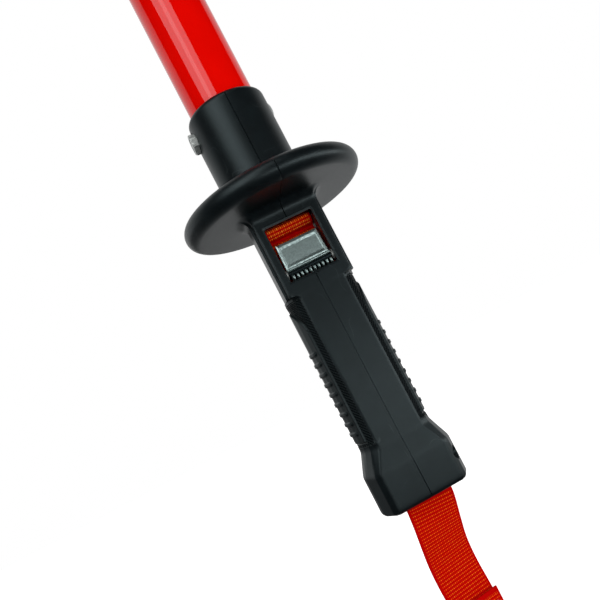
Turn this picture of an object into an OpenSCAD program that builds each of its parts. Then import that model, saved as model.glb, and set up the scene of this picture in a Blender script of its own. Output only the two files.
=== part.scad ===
// Handle end of a strap pole: a tube clamped in a two-half moulded handle with a round
// hand guard, a spring-loaded cam buckle in a front window and flat webbing running through.
// Millimetres. +Z runs along the pole towards the tube, -Y is the front with the window,
// and the origin is on the tube axis in the middle of the hand grip.

/* [Pole tube] */
// Outer diameter of the tube
tube_d = 35; // [30:0.5:38]
// Wall of the tube
tube_wall = 1.6; // [1.2:0.1:2.5]
// Length of tube that stands out of the collar
tube_reach = 260; // [150:5:900]

/* [Webbing] */
// Width of the webbing
strap_w = 25.4; // [20:0.2:27]
// Thickness of the webbing
strap_t = 1.6; // [1:0.1:2]
// How far the webbing runs in front of the tube axis
strap_front = 4.5; // [4.4:0.1:5.2]

/* [Collar] */
// Wall of the collar round the tube
collar_wall = 3.5; // [3:0.1:6]
// Height of the collar above the hand guard
collar_h = 48.5; // [36:0.5:80]
// Rounding of the collar's open end
collar_edge = 3; // [1:0.2:3]

/* [Hand guard] */
// Diameter of the hand guard
guard_d = 96.4; // [80:0.2:130]
// Thickness of the hand guard and diameter of its round rim
guard_t = 11; // [8:0.5:14]
// Height of the fillet under the hand guard
guard_fillet = 5.5; // [3:0.5:7]

/* [Grip] */
// From the origin up to the underside of the hand guard
grip_above = 87; // [85:0.5:120]
// From the origin down to the end of the flared foot
grip_below = 71.8; // [66:0.2:110]
// Width of the grip across the side pads
grip_w = 37.8; // [37.4:0.2:46]
// From the tube axis to the front face
grip_front = 14.5; // [13.8:0.1:18]
// How far the centre of the palm curve lies in front of the tube axis
palm_shift = 2; // [0:0.5:4]
// Width of the front plate round the window
plate_w = 35; // [34:0.5:36.6]
// Width of the front strip between the side pads
strip_w = 24; // [20:0.5:26]
// Thickness of the side pads
pad_t = 1.6; // [1:0.1:2]
// How far back from the tube axis the side pads reach
pad_back = 4; // [2:0.5:5]
// Length of the pads' raised panel
panel_len = 56; // [40:1:70]
// Number of cross ribs on each raised panel
rib_count = 9; // [5:1:12]

/* [Foot] */
// Width of the flared foot
foot_w = 47.2; // [44:0.2:56]
// From the tube axis to the front of the foot
foot_front = 15.4; // [14.4:0.2:24]
// Height of the straight part of the foot
foot_h = 20.8; // [16:0.2:30]
// Height over which the grip widens into the foot
foot_taper = 11.6; // [8:0.2:18]
// Rounding of the foot's lower edge
foot_edge = 2.2; // [1:0.2:3]

/* [Window and buckle] */
// Width of the window
window_w = 27.1; // [24:0.1:27.8]
// Height of the window
window_h = 28.6; // [27:0.2:30]
// From the underside of the hand guard down to the window
window_drop = 9; // [8:0.5:12]
// Thickness of the lip round the window
lip_t = 1.4; // [1:0.1:2]
// Sheet thickness of the buckle frame
frame_t = 1.2; // [0.8:0.1:1.5]
// Diameter of the cam pin
cam_pin_d = 3; // [2.5:0.1:3.2]
// Width of the lever's thumb plate
lever_w = 22.4; // [20:0.2:23]
// Thickness of the lever's thumb plate
lever_t = 1.4; // [1:0.1:1.6]
// Number of teeth across the cam
tooth_count = 10; // [6:2:10]
// Width of one tooth
tooth_w = 1.2; // [0.8:0.1:1.3]

/* [Fasteners] */
// Diameter of the collar bolt
bolt_d = 6; // [4:0.5:6]
// Diameter of the shell screws
screw_d = 3.5; // [2.5:0.1:4]

/* [End cap] */
// Height of the cap above the end of the tube
cap_h = 13; // [11:0.5:20]
// Depth of the cap's plug in the tube
plug_h = 26; // [24:1:40]
// Radius of the saddle that the webbing runs over
saddle_r = 4.2; // [3.6:0.1:4.6]
// Diameter of the pin that holds the webbing's end
anchor_d = 4; // [3:0.5:4]

/* [Hidden] */
$fn = 64;
hull_fn = 28;
eps = 0.01;

// clearances
fit_gap = 0.1;      // pieces that are pushed together
run_gap = 0.05;     // lever on its pin, all round
strap_gap = 0.3;    // webbing to whatever guides or holds it
pad_gap = 0.05;     // pads in their recess

// heights
guard_z0 = grip_above;
guard_z1 = guard_z0 + guard_t;
collar_z1 = guard_z1 + collar_h;
tube_z0 = guard_z0 + 3.5;
tube_z1 = collar_z1 + tube_reach;
foot_z0 = -grip_below;
foot_z1 = foot_z0 + foot_h;
foot_z2 = foot_z1 + foot_taper;
window_z1 = guard_z0 - window_drop;
window_z0 = window_z1 - window_h;
notch_z = window_z0 - 6.8;

// tube and collar
tube_r = tube_d / 2;
tube_ri = tube_r - tube_wall;
collar_r = tube_r + collar_wall;
bolt_z = collar_z1 - 10.3;
bolt_head_r = bolt_d * 0.875;
bolt_head_h = bolt_d * 0.55;
nut_af = bolt_d * 5 / 3;
nut_t = bolt_d * 0.83;
seat_x = tube_r + 0.8;

// webbing
strap_y0 = -strap_front - strap_t / 2;
strap_y1 = -strap_front + strap_t / 2;
slot_w = strap_w + 1;
channel_y0 = strap_y0 - 1;
channel_y1 = strap_y1 + 0.8;

// buckle
frame_in = strap_w / 2 + 0.4;
frame_out = frame_in + frame_t;
frame_y0 = -grip_front + lip_t + 0.2;
frame_back = strap_y1 + strap_gap;
frame_y1 = frame_back + frame_t;
frame_z0 = window_z0 - 2.6;
frame_z1 = window_z1 + 0.6;
pocket_x = frame_out + 0.2;
pocket_z0 = frame_z0 - 0.3;
pocket_z1 = frame_z1 + 0.3;
cam_y = frame_y0 + 3.2;
cam_z = window_z0 + 4.5;
cam_pin_r = cam_pin_d / 2;
hub_r = cam_pin_r + 1.4;
// the toothed curve is a circle set off from the pin, so the teeth bite deeper as the strap pulls
tooth_far = 250;
tooth_reach = strap_y0 - 0.42 - cam_y;
tooth_off = 0.22 * tooth_reach;
tooth_r = tooth_reach + tooth_off * cos(tooth_far - 180) * 0.76;
tooth_pitch = (lever_w - 0.5 - tooth_w) / (tooth_count - 1);
groove_depth = 1.15;
// thumb plate, from its free top edge to the rolled lower edge
plate_top = [frame_y0 + 2.9, cam_z + 15.3];
plate_low = [frame_y0 - 0.3, cam_z + 1];
roll_r = 1.2;
release_angle = 9;

// lower grip
pad_z0 = foot_z2 + 2;
pad_z1 = notch_z - 1.4;
panel_z1 = pad_z1 - 21;
panel_z0 = panel_z1 - panel_len;

// end cap
cap_top_r = 6;
arch_y = -strap_front + saddle_r + strap_t / 2;
arch_z = tube_z1 + 1.5;
anchor_y = arch_y + saddle_r + strap_t / 2;
anchor_z = tube_z1 - 14;
anchor_r = anchor_d / 2;
cap_screw_r = 0.9;
cap_screw_z = tube_z1 - 6;
eye_ri = anchor_r + 0.2;
eye_ro = eye_ri + strap_t * 0.75;
cap_slot_y1 = anchor_y + eye_ro + strap_gap;

// screws through the two halves: place across the handle and height
shell_screw_at = [[9.5, window_z1 - 5], [9.5, 28], [9.5, -18], [-10.6, foot_z0 + 12.5], [12.5, foot_z0 + 12.5]];
screw_head_r = screw_d;
screw_head_h = 2.2;
screw_seat = 10.5;
screw_tip = -9;

// the webbing's free end below the foot: [x, y, z, turn about the strap's own line], then the hand loop,
// whose end comes back up on the front
tail_turn = 13;
tail_route = [
    [0, 0, 0, 0], [0, 0, -3, 0], [-0.3, 0.1, -7, 2], [-0.9, 0.7, -13.2, 6], [-1.6, 2.1, -21.2, 10],
    [-2.1, 4, -29.2, 12.5], [-2.3, 6, -37.2, tail_turn], [-2.3, 7.5, -46.2, tail_turn],
    [-2.1, 8.1, -54.2, tail_turn], [-2, 8.3, -64.2, tail_turn], [-2, 8.5, -76.2, tail_turn],
    [-2, 11, -88.2, tail_turn], [-2, 16.5, -100.2, tail_turn], [-2, 22.5, -114.2, tail_turn],
    [-2, 26, -128.2, tail_turn], [-2, 26.5, -140.2, tail_turn], [-2, 23.5, -152.2, tail_turn],
    [-2, 16.5, -161.2, tail_turn], [-2, 7, -164.7, tail_turn], [-1.9, -2.5, -161.2, tail_turn],
    [-1.8, -9.5, -152.2, tail_turn], [-1.6, -12.5, -140.2, tail_turn], [-1.4, -12, -128.2, tail_turn],
    [-1.2, -8.5, -114.2, tail_turn], [-1, -2.5, -100.2, tail_turn], [-0.8, 3.6, -88.2, tail_turn],
    [-0.7, 6.3, -76.2, tail_turn], [-0.6, 6.3, -64.2, tail_turn], [-0.5, 6, -52.4, tail_turn]
];

function unit(v) = v / norm(v);

// ---- outlines across the grip, grown or shrunk by g -------------------------------

// both sides of an outline given by its right-hand points
module mirrored(points) {
    polygon(concat(points, [for (i = [len(points) - 1:-1:0]) [-points[i][0], points[i][1]]]));
}

// the rounded back, from the widest line backwards
module palm(half_w, g) {
    r = half_w + g;
    translate([0, -palm_shift]) intersection() {
        circle(r = r);
        translate([-2 * r, -eps]) square([4 * r, 2 * r]);
    }
}

// round the window: a raised front plate on a wider body
module upper_outline(g = 0) {
    palm(grip_w / 2, g);
    mirrored([[plate_w / 2 - 1 + g, -grip_front - g], [plate_w / 2 + g, -grip_front + 1 - g],
        [plate_w / 2 + g, -grip_front + 3.5], [grip_w / 2 + g, -grip_front + 5], [grip_w / 2 + g, -palm_shift]]);
}

// between the pads: a narrow front strip with sloping shoulders
module lower_outline(g = 0) {
    palm(grip_w / 2, g);
    mirrored([[strip_w / 2, -grip_front], [strip_w / 2 + 0.6, -grip_front + 0.3 - g],
        [grip_w / 2 - 2.9 + g * 0.8, -grip_front + 2.6 - g * 0.6], [grip_w / 2 - 0.7 + g, -grip_front + 6.2],
        [grip_w / 2 + g, -grip_front + 9.5], [grip_w / 2 + g, -palm_shift]]);
}

module foot_outline(g = 0) {
    palm(foot_w / 2, g);
    mirrored([[foot_w / 2 - 4.6 + g, -foot_front - g], [foot_w / 2 - 1.2 + g, -foot_front + 2.2 - g],
        [foot_w / 2 + g, -foot_front + 6], [foot_w / 2 + g, -palm_shift]]);
}

// ---- the moulded handle as one block, before it is split --------------------------

module collar_and_guard() {
    rim = guard_t / 2;
    rotate_extrude($fn = 128) {
        translate([0, guard_z0]) square([guard_d / 2 - rim, guard_t]);
        translate([guard_d / 2 - rim, guard_z0 + rim]) intersection() {
            circle(r = rim);
            translate([0, -rim]) square([rim, guard_t]);
        }
        translate([0, guard_z1 - eps]) square([collar_r, collar_h - collar_edge + eps]);
        translate([0, guard_z1]) square([collar_r - collar_edge, collar_h]);
        translate([collar_r - collar_edge, collar_z1 - collar_edge]) intersection() {
            circle(r = collar_edge);
            square(collar_edge);
        }
        // fillet between collar and guard
        translate([collar_r - eps, guard_z1 - eps]) difference() {
            square(2);
            translate([2, 2]) circle(r = 2);
        }
    }
}

// quarter-round flare of the grip into the underside of the guard
module guard_root() {
    $fn = hull_fn;
    steps = 4;
    for (i = [0:steps - 1]) hull() for (k = [i, i + 1]) {
        a = 90 * k / steps;
        translate([0, 0, guard_z0 - 0.1 - guard_fillet * (1 - sin(a))])
            linear_extrude(k == steps ? 1 : eps) upper_outline(guard_fillet * (1 - cos(a)));
    }
}

module foot() {
    $fn = hull_fn;
    hull() {
        translate([0, 0, foot_z2]) linear_extrude(eps) lower_outline();
        translate([0, 0, foot_z1]) linear_extrude(eps) foot_outline();
    }
    hull() {
        translate([0, 0, foot_z1 - eps]) linear_extrude(eps) foot_outline();
        translate([0, 0, foot_z0 + foot_edge]) linear_extrude(eps) foot_outline();
        translate([0, 0, foot_z0 + foot_edge * 0.3]) linear_extrude(eps) foot_outline(-foot_edge * 0.3);
        translate([0, 0, foot_z0]) linear_extrude(eps) foot_outline(-foot_edge);
    }
}

// rounded corners where the front plate steps in to the strip
module notch_corners() {
    r = 2.4;
    for (s = [-1, 1]) translate([s * strip_w / 2, 0, notch_z]) rotate([90, 0, 0])
        translate([0, 0, grip_front - 5]) linear_extrude(5) difference() {
            translate([s > 0 ? -eps : -r, -r]) square([r + eps, r + eps]);
            translate([s * r, -r]) circle(r = r);
        }
}

module handle_block() {
    collar_and_guard();
    guard_root();
    translate([0, 0, notch_z]) linear_extrude(guard_z0 - notch_z) upper_outline();
    translate([0, 0, foot_z2 - eps]) linear_extrude(notch_z - foot_z2 + 2 * eps) lower_outline();
    notch_corners();
    foot();
}

// ---- what is hollow in the handle ---------------------------------------------------

// a box given by its limits along x, y and z
module span(x, y, z) {
    translate([x[0], y[0], z[0]]) cube([x[1] - x[0], y[1] - y[0], z[1] - z[0]]);
}

module along_x(y, z, x0, x1, r, fn = 48) {
    translate([x0, y, z]) rotate([0, 90, 0]) cylinder(h = x1 - x0, r = r, $fn = fn);
}

module tube_socket() {
    translate([0, 0, tube_z0]) cylinder(h = tube_z1, r = tube_r + fit_gap, $fn = 128);
}

module strap_channel() {
    span([-slot_w / 2, slot_w / 2], [channel_y0, channel_y1], [foot_z0 - 1, tube_z0 + 1]);
    // eased lips where the webbing leaves the foot
    for (y = [channel_y0, channel_y1]) translate([-slot_w / 2 - 0.4, y, foot_z0]) rotate([45, 0, 0])
        translate([0, -1, -1]) cube([slot_w + 0.8, 2, 2]);
}

module window_cut() {
    span([-window_w / 2, window_w / 2], [-grip_front - 1, frame_y0], [window_z0, window_z1]);
    span([-pocket_x, pocket_x], [-grip_front + lip_t, frame_y1 + 0.2], [pocket_z0, pocket_z1]);
    // room for the ends of the cam pin
    along_x(cam_y, cam_z, -frame_out - 2.2, frame_out + 2.2, cam_pin_r + 1.7);
}

// weight-saving bays between cross ribs, in front of and behind the webbing
module bays() {
    bay_gap = 3;
    bay_wall = 3;
    count = 4;
    z0 = foot_z0 + 4;
    z1 = notch_z - 4;
    pitch = (z1 - z0 + bay_gap) / count;
    for (i = [0:count - 1]) {
        z = [z0 + i * pitch, z0 + (i + 1) * pitch - bay_gap];
        span([-slot_w / 2 + 2, slot_w / 2 - 2], [channel_y1 + 1.6, grip_w / 2 - palm_shift - bay_wall - 9], z);
        span([-strip_w / 2 + 2, strip_w / 2 - 2], [-grip_front + bay_wall, channel_y0 - 1.4], z);
    }
}

module handle_hollows() {
    tube_socket();
    strap_channel();
    window_cut();
    along_x(0, bolt_z, -collar_r - 1, collar_r + 1, bolt_d / 2 + 0.2);
}

// recess that takes one side pad: everything outside the shrunk outline, over the pad's side view
module pad_recess(s, g) {
    intersection() {
        translate([0, 0, pad_z0 - 2]) linear_extrude(pad_z1 - pad_z0 + 4) difference() {
            translate([s > 0 ? strip_w / 2 + 0.4 - g : -grip_w, -grip_front - 3])
                square([grip_w - strip_w / 2 - 0.4 + g, grip_front + 3 + pad_back + 3]);
            lower_outline(-pad_t - g);
        }
        pad_side_view(g);
    }
}

// the pad seen from the side: an upright strip with rounded back corners
module pad_side_view(g) {
    r = 5;
    y0 = -grip_front - 2;
    y1 = pad_back + g;
    z0 = pad_z0 - g;
    z1 = pad_z1 + g;
    translate([-grip_w, 0, 0]) rotate([90, 0, 90]) linear_extrude(2 * grip_w) {
        translate([y0, z0]) square([y1 - r - y0, z1 - z0]);
        translate([y0, z0 + r]) square([y1 - y0, z1 - z0 - 2 * r]);
        for (z = [z0 + r, z1 - r]) translate([y1 - r, z]) circle(r = r);
    }
}

module shell_half(s) {
    difference() {
        intersection() {
            handle_block();
            span(s > 0 ? [0, guard_d] : [-guard_d, 0], [-guard_d, guard_d], [foot_z0 - 1, collar_z1 + 1]);
        }
        handle_hollows();
        bay_part(s);
        pad_recess(s, pad_gap);
    }
}

module bay_part(s) {
    intersection() {
        difference() {
            bays();
            // bosses round the screws
            for (p = shell_screw_at) along_x(p[0], p[1], -foot_w, foot_w, screw_d / 2 + 2);
        }
        span(s > 0 ? [-eps, guard_d] : [-guard_d, eps], [-guard_d, guard_d], [foot_z0, guard_z1]);
    }
}

module handle_shell_left() {
    color("#23282a") difference() {
        shell_half(-1);
        // hexagonal seat of the nut and pilot holes of the screws
        translate([-seat_x, 0, bolt_z]) rotate([0, -90, 0]) cylinder(h = collar_wall + 2, r = nut_af / sqrt(3) + 0.2, $fn = 6);
        for (p = shell_screw_at) along_x(p[0], p[1], screw_tip - 1, eps, screw_d / 2 - 0.1);
    }
}

module handle_shell_right() {
    color("#23282a") difference() {
        shell_half(1);
        along_x(0, bolt_z, seat_x, collar_r + 1, bolt_head_r + 0.3);
        for (p = shell_screw_at) {
            along_x(p[0], p[1], -eps, screw_seat + 1, screw_d / 2 + 0.2);
            along_x(p[0], p[1], screw_seat, foot_w, screw_head_r + 0.3);
        }
    }
}

// ---- side pads ---------------------------------------------------------------------

module grip_pad(s) {
    rib_pitch = panel_len / rib_count;
    intersection() {
        pad_recess(s, 0);
        translate([0, 0, pad_z0]) linear_extrude(pad_z1 - pad_z0) lower_outline();
    }
    // raised panel and its cross ribs, following the side of the grip
    intersection() {
        pad_recess(s, 0);
        union() {
            translate([0, 0, panel_z0]) linear_extrude(panel_len) lower_outline(0.5);
            for (i = [0:rib_count - 1]) translate([0, 0, panel_z0 + (i + 0.5) * rib_pitch - 1])
                linear_extrude(2) lower_outline(1.1);
        }
        span(s > 0 ? [0, grip_w] : [-grip_w, 0], [-grip_front + 5.2, pad_back - 1], [panel_z0, panel_z1]);
    }
}

module grip_pad_left() {
    color("#2c3133") grip_pad(-1);
}

module grip_pad_right() {
    color("#2c3133") grip_pad(1);
}

// ---- tube and its end --------------------------------------------------------------

module pole_tube() {
    color("#e00a06") difference() {
        translate([0, 0, tube_z0]) cylinder(h = tube_z1 - tube_z0, r = tube_r, $fn = 128);
        translate([0, 0, tube_z0 - 1]) cylinder(h = tube_z1, r = tube_ri, $fn = 128);
        along_x(0, bolt_z, -tube_r - 1, tube_r + 1, bolt_d / 2 + 0.2);
        along_x(anchor_y, anchor_z, -tube_r - 1, tube_r + 1, anchor_r + fit_gap);
        cap_screw_holes(cap_screw_r + 0.25);
    }
}

// moulded ring that leads the webbing past the raw lower end of the tube
module strap_bush() {
    color("#3a3f41") difference() {
        translate([0, 0, tube_z0]) cylinder(h = 12, r = tube_ri - fit_gap, $fn = 96);
        span([-slot_w / 2, slot_w / 2], [channel_y0 + 0.4, channel_y1], [tube_z0 - 1, tube_z0 + 14]);
        translate([0, channel_y1 + 8, tube_z0 - 1]) cylinder(h = 14, r = 5.4);
    }
}

module end_cap() {
    color("#23282a") difference() {
        union() {
            rotate_extrude($fn = 128) {
                translate([0, tube_z1]) square([tube_r, cap_h - cap_top_r]);
                translate([0, tube_z1]) square([tube_r - cap_top_r, cap_h]);
                translate([tube_r - cap_top_r, tube_z1 + cap_h - cap_top_r]) intersection() {
                    circle(r = cap_top_r);
                    square(cap_top_r);
                }
                translate([0, tube_z1 - plug_h]) square([tube_ri - fit_gap, plug_h + 1]);
            }
        }
        // the webbing's way out, over the saddle and back in
        difference() {
            span([-slot_w / 2, slot_w / 2], [strap_y0 - strap_gap, cap_slot_y1],
                [tube_z1 - plug_h - 1, tube_z1 + cap_h + 1]);
            saddle();
        }
        along_x(anchor_y, anchor_z, -tube_r - 1, tube_r + 1, anchor_r + fit_gap);
        cap_screw_holes(cap_screw_r + 0.05);
    }
}

module saddle() {
    half = slot_w / 2 + 1;
    along_x(arch_y, arch_z, -half, half, saddle_r - strap_gap);
    span([-half, half], [arch_y - saddle_r + strap_gap, anchor_y - eye_ro - strap_gap], [tube_z1 - plug_h, arch_z]);
    span([-half, half], [arch_y - saddle_r + strap_gap, arch_y + saddle_r - strap_gap],
        [anchor_z + eye_ro + 1.5, arch_z]);
}

module anchor_pin() {
    half = sqrt(tube_r * tube_r - anchor_y * anchor_y) - 0.3;
    color("#9aa2a4") along_x(anchor_y, anchor_z, -half, half, anchor_r);
}

// countersunk holes through tube and plug, front and back
module cap_screw_holes(r) {
    for (s = [-1, 1]) translate([0, 0, cap_screw_z]) rotate([s * 90, 0, 0]) {
        cylinder(h = tube_r + 1, r = r, $fn = 24);
        translate([0, 0, tube_r - 1.25]) cylinder(h = 1.3, r1 = cap_screw_r, r2 = cap_screw_r + 1.3, $fn = 24);
    }
}

module cap_screws() {
    color("#9aa2a4") for (s = [-1, 1]) translate([0, 0, cap_screw_z]) rotate([s * 90, 0, 0]) {
        translate([0, 0, tube_ri - 2.5]) cylinder(h = tube_wall + 2, r = cap_screw_r, $fn = 24);
        translate([0, 0, tube_r - 1.2]) cylinder(h = 1, r1 = cap_screw_r - 0.05, r2 = cap_screw_r + 0.95, $fn = 24);
    }
}

// ---- fasteners ----------------------------------------------------------------------

module collar_bolt() {
    shank = bolt_d / 2;
    color("#a9b0b2") difference() {
        union() {
            along_x(0, bolt_z, -seat_x - nut_t - 0.6, seat_x + 0.5, shank);
            // button head
            translate([seat_x + 0.05, 0, bolt_z]) rotate([0, 90, 0]) intersection() {
                cylinder(h = bolt_head_h, r = bolt_head_r);
                translate([0, 0, bolt_head_h - bolt_head_r * 1.35]) sphere(r = bolt_head_r * 1.35);
            }
        }
        translate([seat_x + bolt_head_h - 1.6, 0, bolt_z]) rotate([0, 90, 0]) cylinder(h = 4, r = bolt_d * 0.38, $fn = 6);
    }
}

module collar_nut() {
    color("#b4babc") translate([-seat_x - 0.05, 0, bolt_z]) rotate([0, -90, 0]) difference() {
        intersection() {
            cylinder(h = nut_t, r = nut_af / sqrt(3), $fn = 6);
            // chamfered corners
            translate([0, 0, -nut_af * 0.42]) sphere(r = nut_af * 0.86);
        }
        translate([0, 0, -1]) cylinder(h = nut_t + 2, r = bolt_d / 2 + run_gap);
    }
}

module shell_screws() {
    color("#9aa2a4") for (p = shell_screw_at) difference() {
        union() {
            along_x(p[0], p[1], screw_tip, screw_seat + 0.5, screw_d / 2 - 0.15, 32);
            along_x(p[0], p[1], screw_seat + 0.05, screw_seat + screw_head_h, screw_head_r, 32);
        }
        // cross recess
        for (a = [0, 90]) translate([screw_seat + screw_head_h, p[0], p[1]]) rotate([a, 0, 0])
            cube([2.2, 0.8, 3.4], center = true);
    }
}

// ---- cam buckle ------------------------------------------------------------------------

// bent sheet channel, with rounded ears where the pin goes through
module buckle_frame() {
    lean = 9;
    color("#8f9a99") difference() {
        span([-frame_out, frame_out], [frame_y0, frame_y1], [frame_z0, frame_z1]);
        span([-frame_in, frame_in], [frame_y0 - 1, frame_back], [frame_z0 - 1, frame_z1 + 1]);
        along_x(cam_y, cam_z, -frame_out - 1, frame_out + 1, cam_pin_r + run_gap);
        // the upper front corners of the cheeks slope back
        translate([-frame_out - 1, frame_y0, frame_z1 - lean]) rotate([-22, 0, 0])
            translate([0, -6, 0]) cube([2 * frame_out + 2, 6, lean * 2]);
    }
}

module cam_outline() {
    translate([cam_y + tooth_off * cos(tooth_far), cam_z + tooth_off * sin(tooth_far)]) circle(r = tooth_r);
}

// the sector of the cam that carries teeth, as a fan in the y-z plane
module tooth_fan() {
    reach = 3 * tooth_r;
    polygon(concat([[cam_y, cam_z]], [for (a = [222, 245, 270, 300, 330, 357])
        [cam_y + reach * cos(a), cam_z + reach * sin(a)]]));
}

// extrudes a y-z outline across the handle between two x values
module across(x0, x1) {
    translate([x0, 0, 0]) rotate([90, 0, 90]) linear_extrude(x1 - x0) children();
}

module cam_teeth() {
    for (i = [0:tooth_count - 1]) {
        x = -(lever_w - 0.5) / 2 + i * tooth_pitch;
        across(x, x + tooth_w) intersection() {
            cam_outline();
            tooth_fan();
        }
    }
    across(-(lever_w - 0.5) / 2, (lever_w - 0.5) / 2) intersection() {
        translate([cam_y + tooth_off * cos(tooth_far), cam_z + tooth_off * sin(tooth_far)])
            circle(r = tooth_r - groove_depth);
        tooth_fan();
    }
}

// thumb plate outline in y-z
module plate_outline(x_in) {
    dir = unit(plate_top - plate_low);
    back = [dir[1], -dir[0]];
    polygon([plate_low, plate_top, plate_top + back * lever_t, plate_low + back * (lever_t + x_in)]);
}

module cam_lever() {
    dir = unit(plate_top - plate_low);
    tilt = atan2(dir[0], dir[1]);
    border = 1.6;
    plate_len = norm(plate_top - plate_low);
    color("#8a9594") difference() {
        union() {
            across(-lever_w / 2, lever_w / 2) plate_outline(0.6);
            along_x(plate_low[0] + roll_r * 0.8, plate_low[1], -lever_w / 2 - 0.6, lever_w / 2 + 0.6, roll_r);
            along_x(cam_y, cam_z, -lever_w / 2 - 0.6, lever_w / 2 + 0.6, hub_r);
            // web between the plate's foot and the hub
            across(-lever_w / 2, lever_w / 2) polygon([plate_low + [0.4, -1], plate_low + [1, 3.4],
                [cam_y + 1.2, cam_z + hub_r - 0.4], [cam_y, cam_z], [cam_y - 1.6, cam_z - 2]]);
            cam_teeth();
        }
        // sunk panel in the thumb plate
        translate([0, plate_low[0], plate_low[1]]) rotate([-tilt, 0, 0])
            translate([-lever_w / 2 + border, -1, border + 0.9])
                cube([lever_w - 2 * border, 1.45, plate_len - 2 * border - 0.9]);
        along_x(cam_y, cam_z, -lever_w, lever_w, cam_pin_r + run_gap);
        spring_room();
    }
}

// hollow in the hub for the coil, open towards the webbing, and a way down for its fixed leg
module spring_room() {
    along_x(cam_y, cam_z, -0.6, 6, cam_pin_r + 1.1);
    span([-0.6, 6], [cam_y, cam_y + 4], [cam_z - 0.6, cam_z + 5]);
    span([-0.55, 0.55], [cam_y - 2.7, cam_y - 1.2], [cam_z - 6, cam_z]);
}

module cam_pin() {
    color("#b9c0c1") {
        along_x(cam_y, cam_z, -frame_out - 1.5, frame_out + 0.3, cam_pin_r, 64);
        along_x(cam_y, cam_z, frame_out + 0.1, frame_out + 1.1, cam_pin_r + 1);
    }
}

// retaining ring pushed on the pin's plain end
module cam_clip() {
    color("#6f787a") difference() {
        along_x(cam_y, cam_z, -frame_out - 0.8, -frame_out - 0.1, cam_pin_r + 1.2);
        along_x(cam_y, cam_z, -frame_out - 2, -frame_out + 1, cam_pin_r + 0.02);
        span([-frame_out - 2, -frame_out + 1], [cam_y - 0.7, cam_y + 0.7], [cam_z - 5, cam_z]);
    }
}

// washers that keep the lever in the middle of the frame
module cam_spacers() {
    x0 = lever_w / 2 + 0.6 + 0.15;
    color("#c3c9ca") for (s = [-1, 1]) difference() {
        along_x(cam_y, cam_z, min(s * x0, s * (frame_in - 0.1)), max(s * x0, s * (frame_in - 0.1)), cam_pin_r + 1);
        along_x(cam_y, cam_z, -frame_out, frame_out, cam_pin_r + run_gap);
    }
}

// torsion spring: one leg under the thumb plate, the other behind the lip below the window
module cam_spring() {
    wire = 0.34;
    coil_r = cam_pin_r + 0.55;
    turns = 5;
    steps = turns * 14;
    pitch = 0.98;
    start = 180;
    coil = [for (i = [0:steps]) let (a = start + 360 * (turns - 0.5) * i / steps)
        [pitch * (turns - 0.5) * i / steps, cam_y + coil_r * cos(a), cam_z + coil_r * sin(a)]];
    leg_down = [[0, cam_y - 2.1, cam_z - 6.6], [0, cam_y - coil_r, cam_z - 4.6], [0, cam_y - coil_r, cam_z - 1.2]];
    leg_up = [[coil[steps][0], cam_y + coil_r - 0.1, cam_z + 1.2], [coil[steps][0], cam_y + 0.9, cam_z + 8.4]];
    color("#c9ced0") tube_along(concat(leg_down, coil, leg_up), wire, 6);
}

// ---- sweeps ------------------------------------------------------------------------------

function tangent(p, i) = unit(p[min(i + 1, len(p) - 1)] - p[max(i - 1, 0)]);

// closed skin round rings of points: sides between rings and a fan at each end
module skin(rings) {
    n = len(rings[0]);
    m = len(rings);
    points = concat([for (ring = rings) each ring], [mean(rings[0]), mean(rings[m - 1])]);
    sides = [for (i = [0:m - 2], k = [0:n - 1]) let (a = i * n + k, b = i * n + (k + 1) % n)
        each [[a, b, b + n], [a, b + n, a + n]]];
    ends = [for (k = [0:n - 1]) each [[n * m, (k + 1) % n, k], [n * m + 1, n * (m - 1) + k, n * (m - 1) + (k + 1) % n]]];
    polyhedron(points, concat(sides, ends));
}

function mean(ring) = [for (axis = [0:2]) sum([for (p = ring) p[axis]]) / len(ring)];
function sum(list, i = 0) = i == len(list) - 1 ? list[i] : list[i] + sum(list, i + 1);

// round wire along points that stay close to planes square to x
module tube_along(path, r, sides) {
    skin([for (i = [0:len(path) - 1]) let (t = tangent(path, i), u = unit(cross([1, 0, 0], t)), w = cross(t, u))
        [for (k = [0:sides - 1]) path[i] + r * (cos(360 * k / sides) * u + sin(360 * k / sides) * w)]]);
}

// flat webbing along points: the fourth value of each turns it about its own line
module ribbon_along(route) {
    line = [for (p = route) [p[0], p[1], p[2]]];
    h = strap_w / 2;
    t = strap_t / 2;
    profile = [[h, t * 0.4], [h - 0.5, t], [-h + 0.5, t], [-h, t * 0.4], [-h, -t * 0.4], [-h + 0.5, -t],
        [h - 0.5, -t], [h, -t * 0.4]];
    skin([for (i = [0:len(line) - 1]) let (d = tangent(line, i), wide = [cos(route[i][3]), sin(route[i][3]), 0],
        w = unit(wide - (wide * d) * d), u = cross(w, d)) [for (q = profile) line[i] + q[0] * w + q[1] * u]]);
}

// ---- webbing ---------------------------------------------------------------------------

// side view of the webbing inside the pole: anchor eye, saddle, and the straight run to the foot
module strap_side() {
    mid = saddle_r + strap_t / 2;
    translate([strap_y0, foot_z0]) square([strap_t, arch_z - foot_z0]);
    translate([arch_y, arch_z]) intersection() {
        difference() {
            circle(r = mid + strap_t / 2);
            circle(r = mid - strap_t / 2);
        }
        translate([-mid - strap_t, 0]) square([2 * mid + 2 * strap_t, mid + strap_t]);
    }
    translate([anchor_y - strap_t / 2, anchor_z + eye_ri + 0.2]) square([strap_t, arch_z - anchor_z - eye_ri - 0.2]);
    translate([anchor_y, anchor_z]) difference() {
        circle(r = eye_ro);
        circle(r = eye_ri);
    }
}

module strap_run() {
    color("#d21505") across(-strap_w / 2, strap_w / 2) strap_side();
}

module strap_tail() {
    color("#d21505") translate([0, -strap_front, foot_z0]) ribbon_along(tail_route);
}

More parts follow.
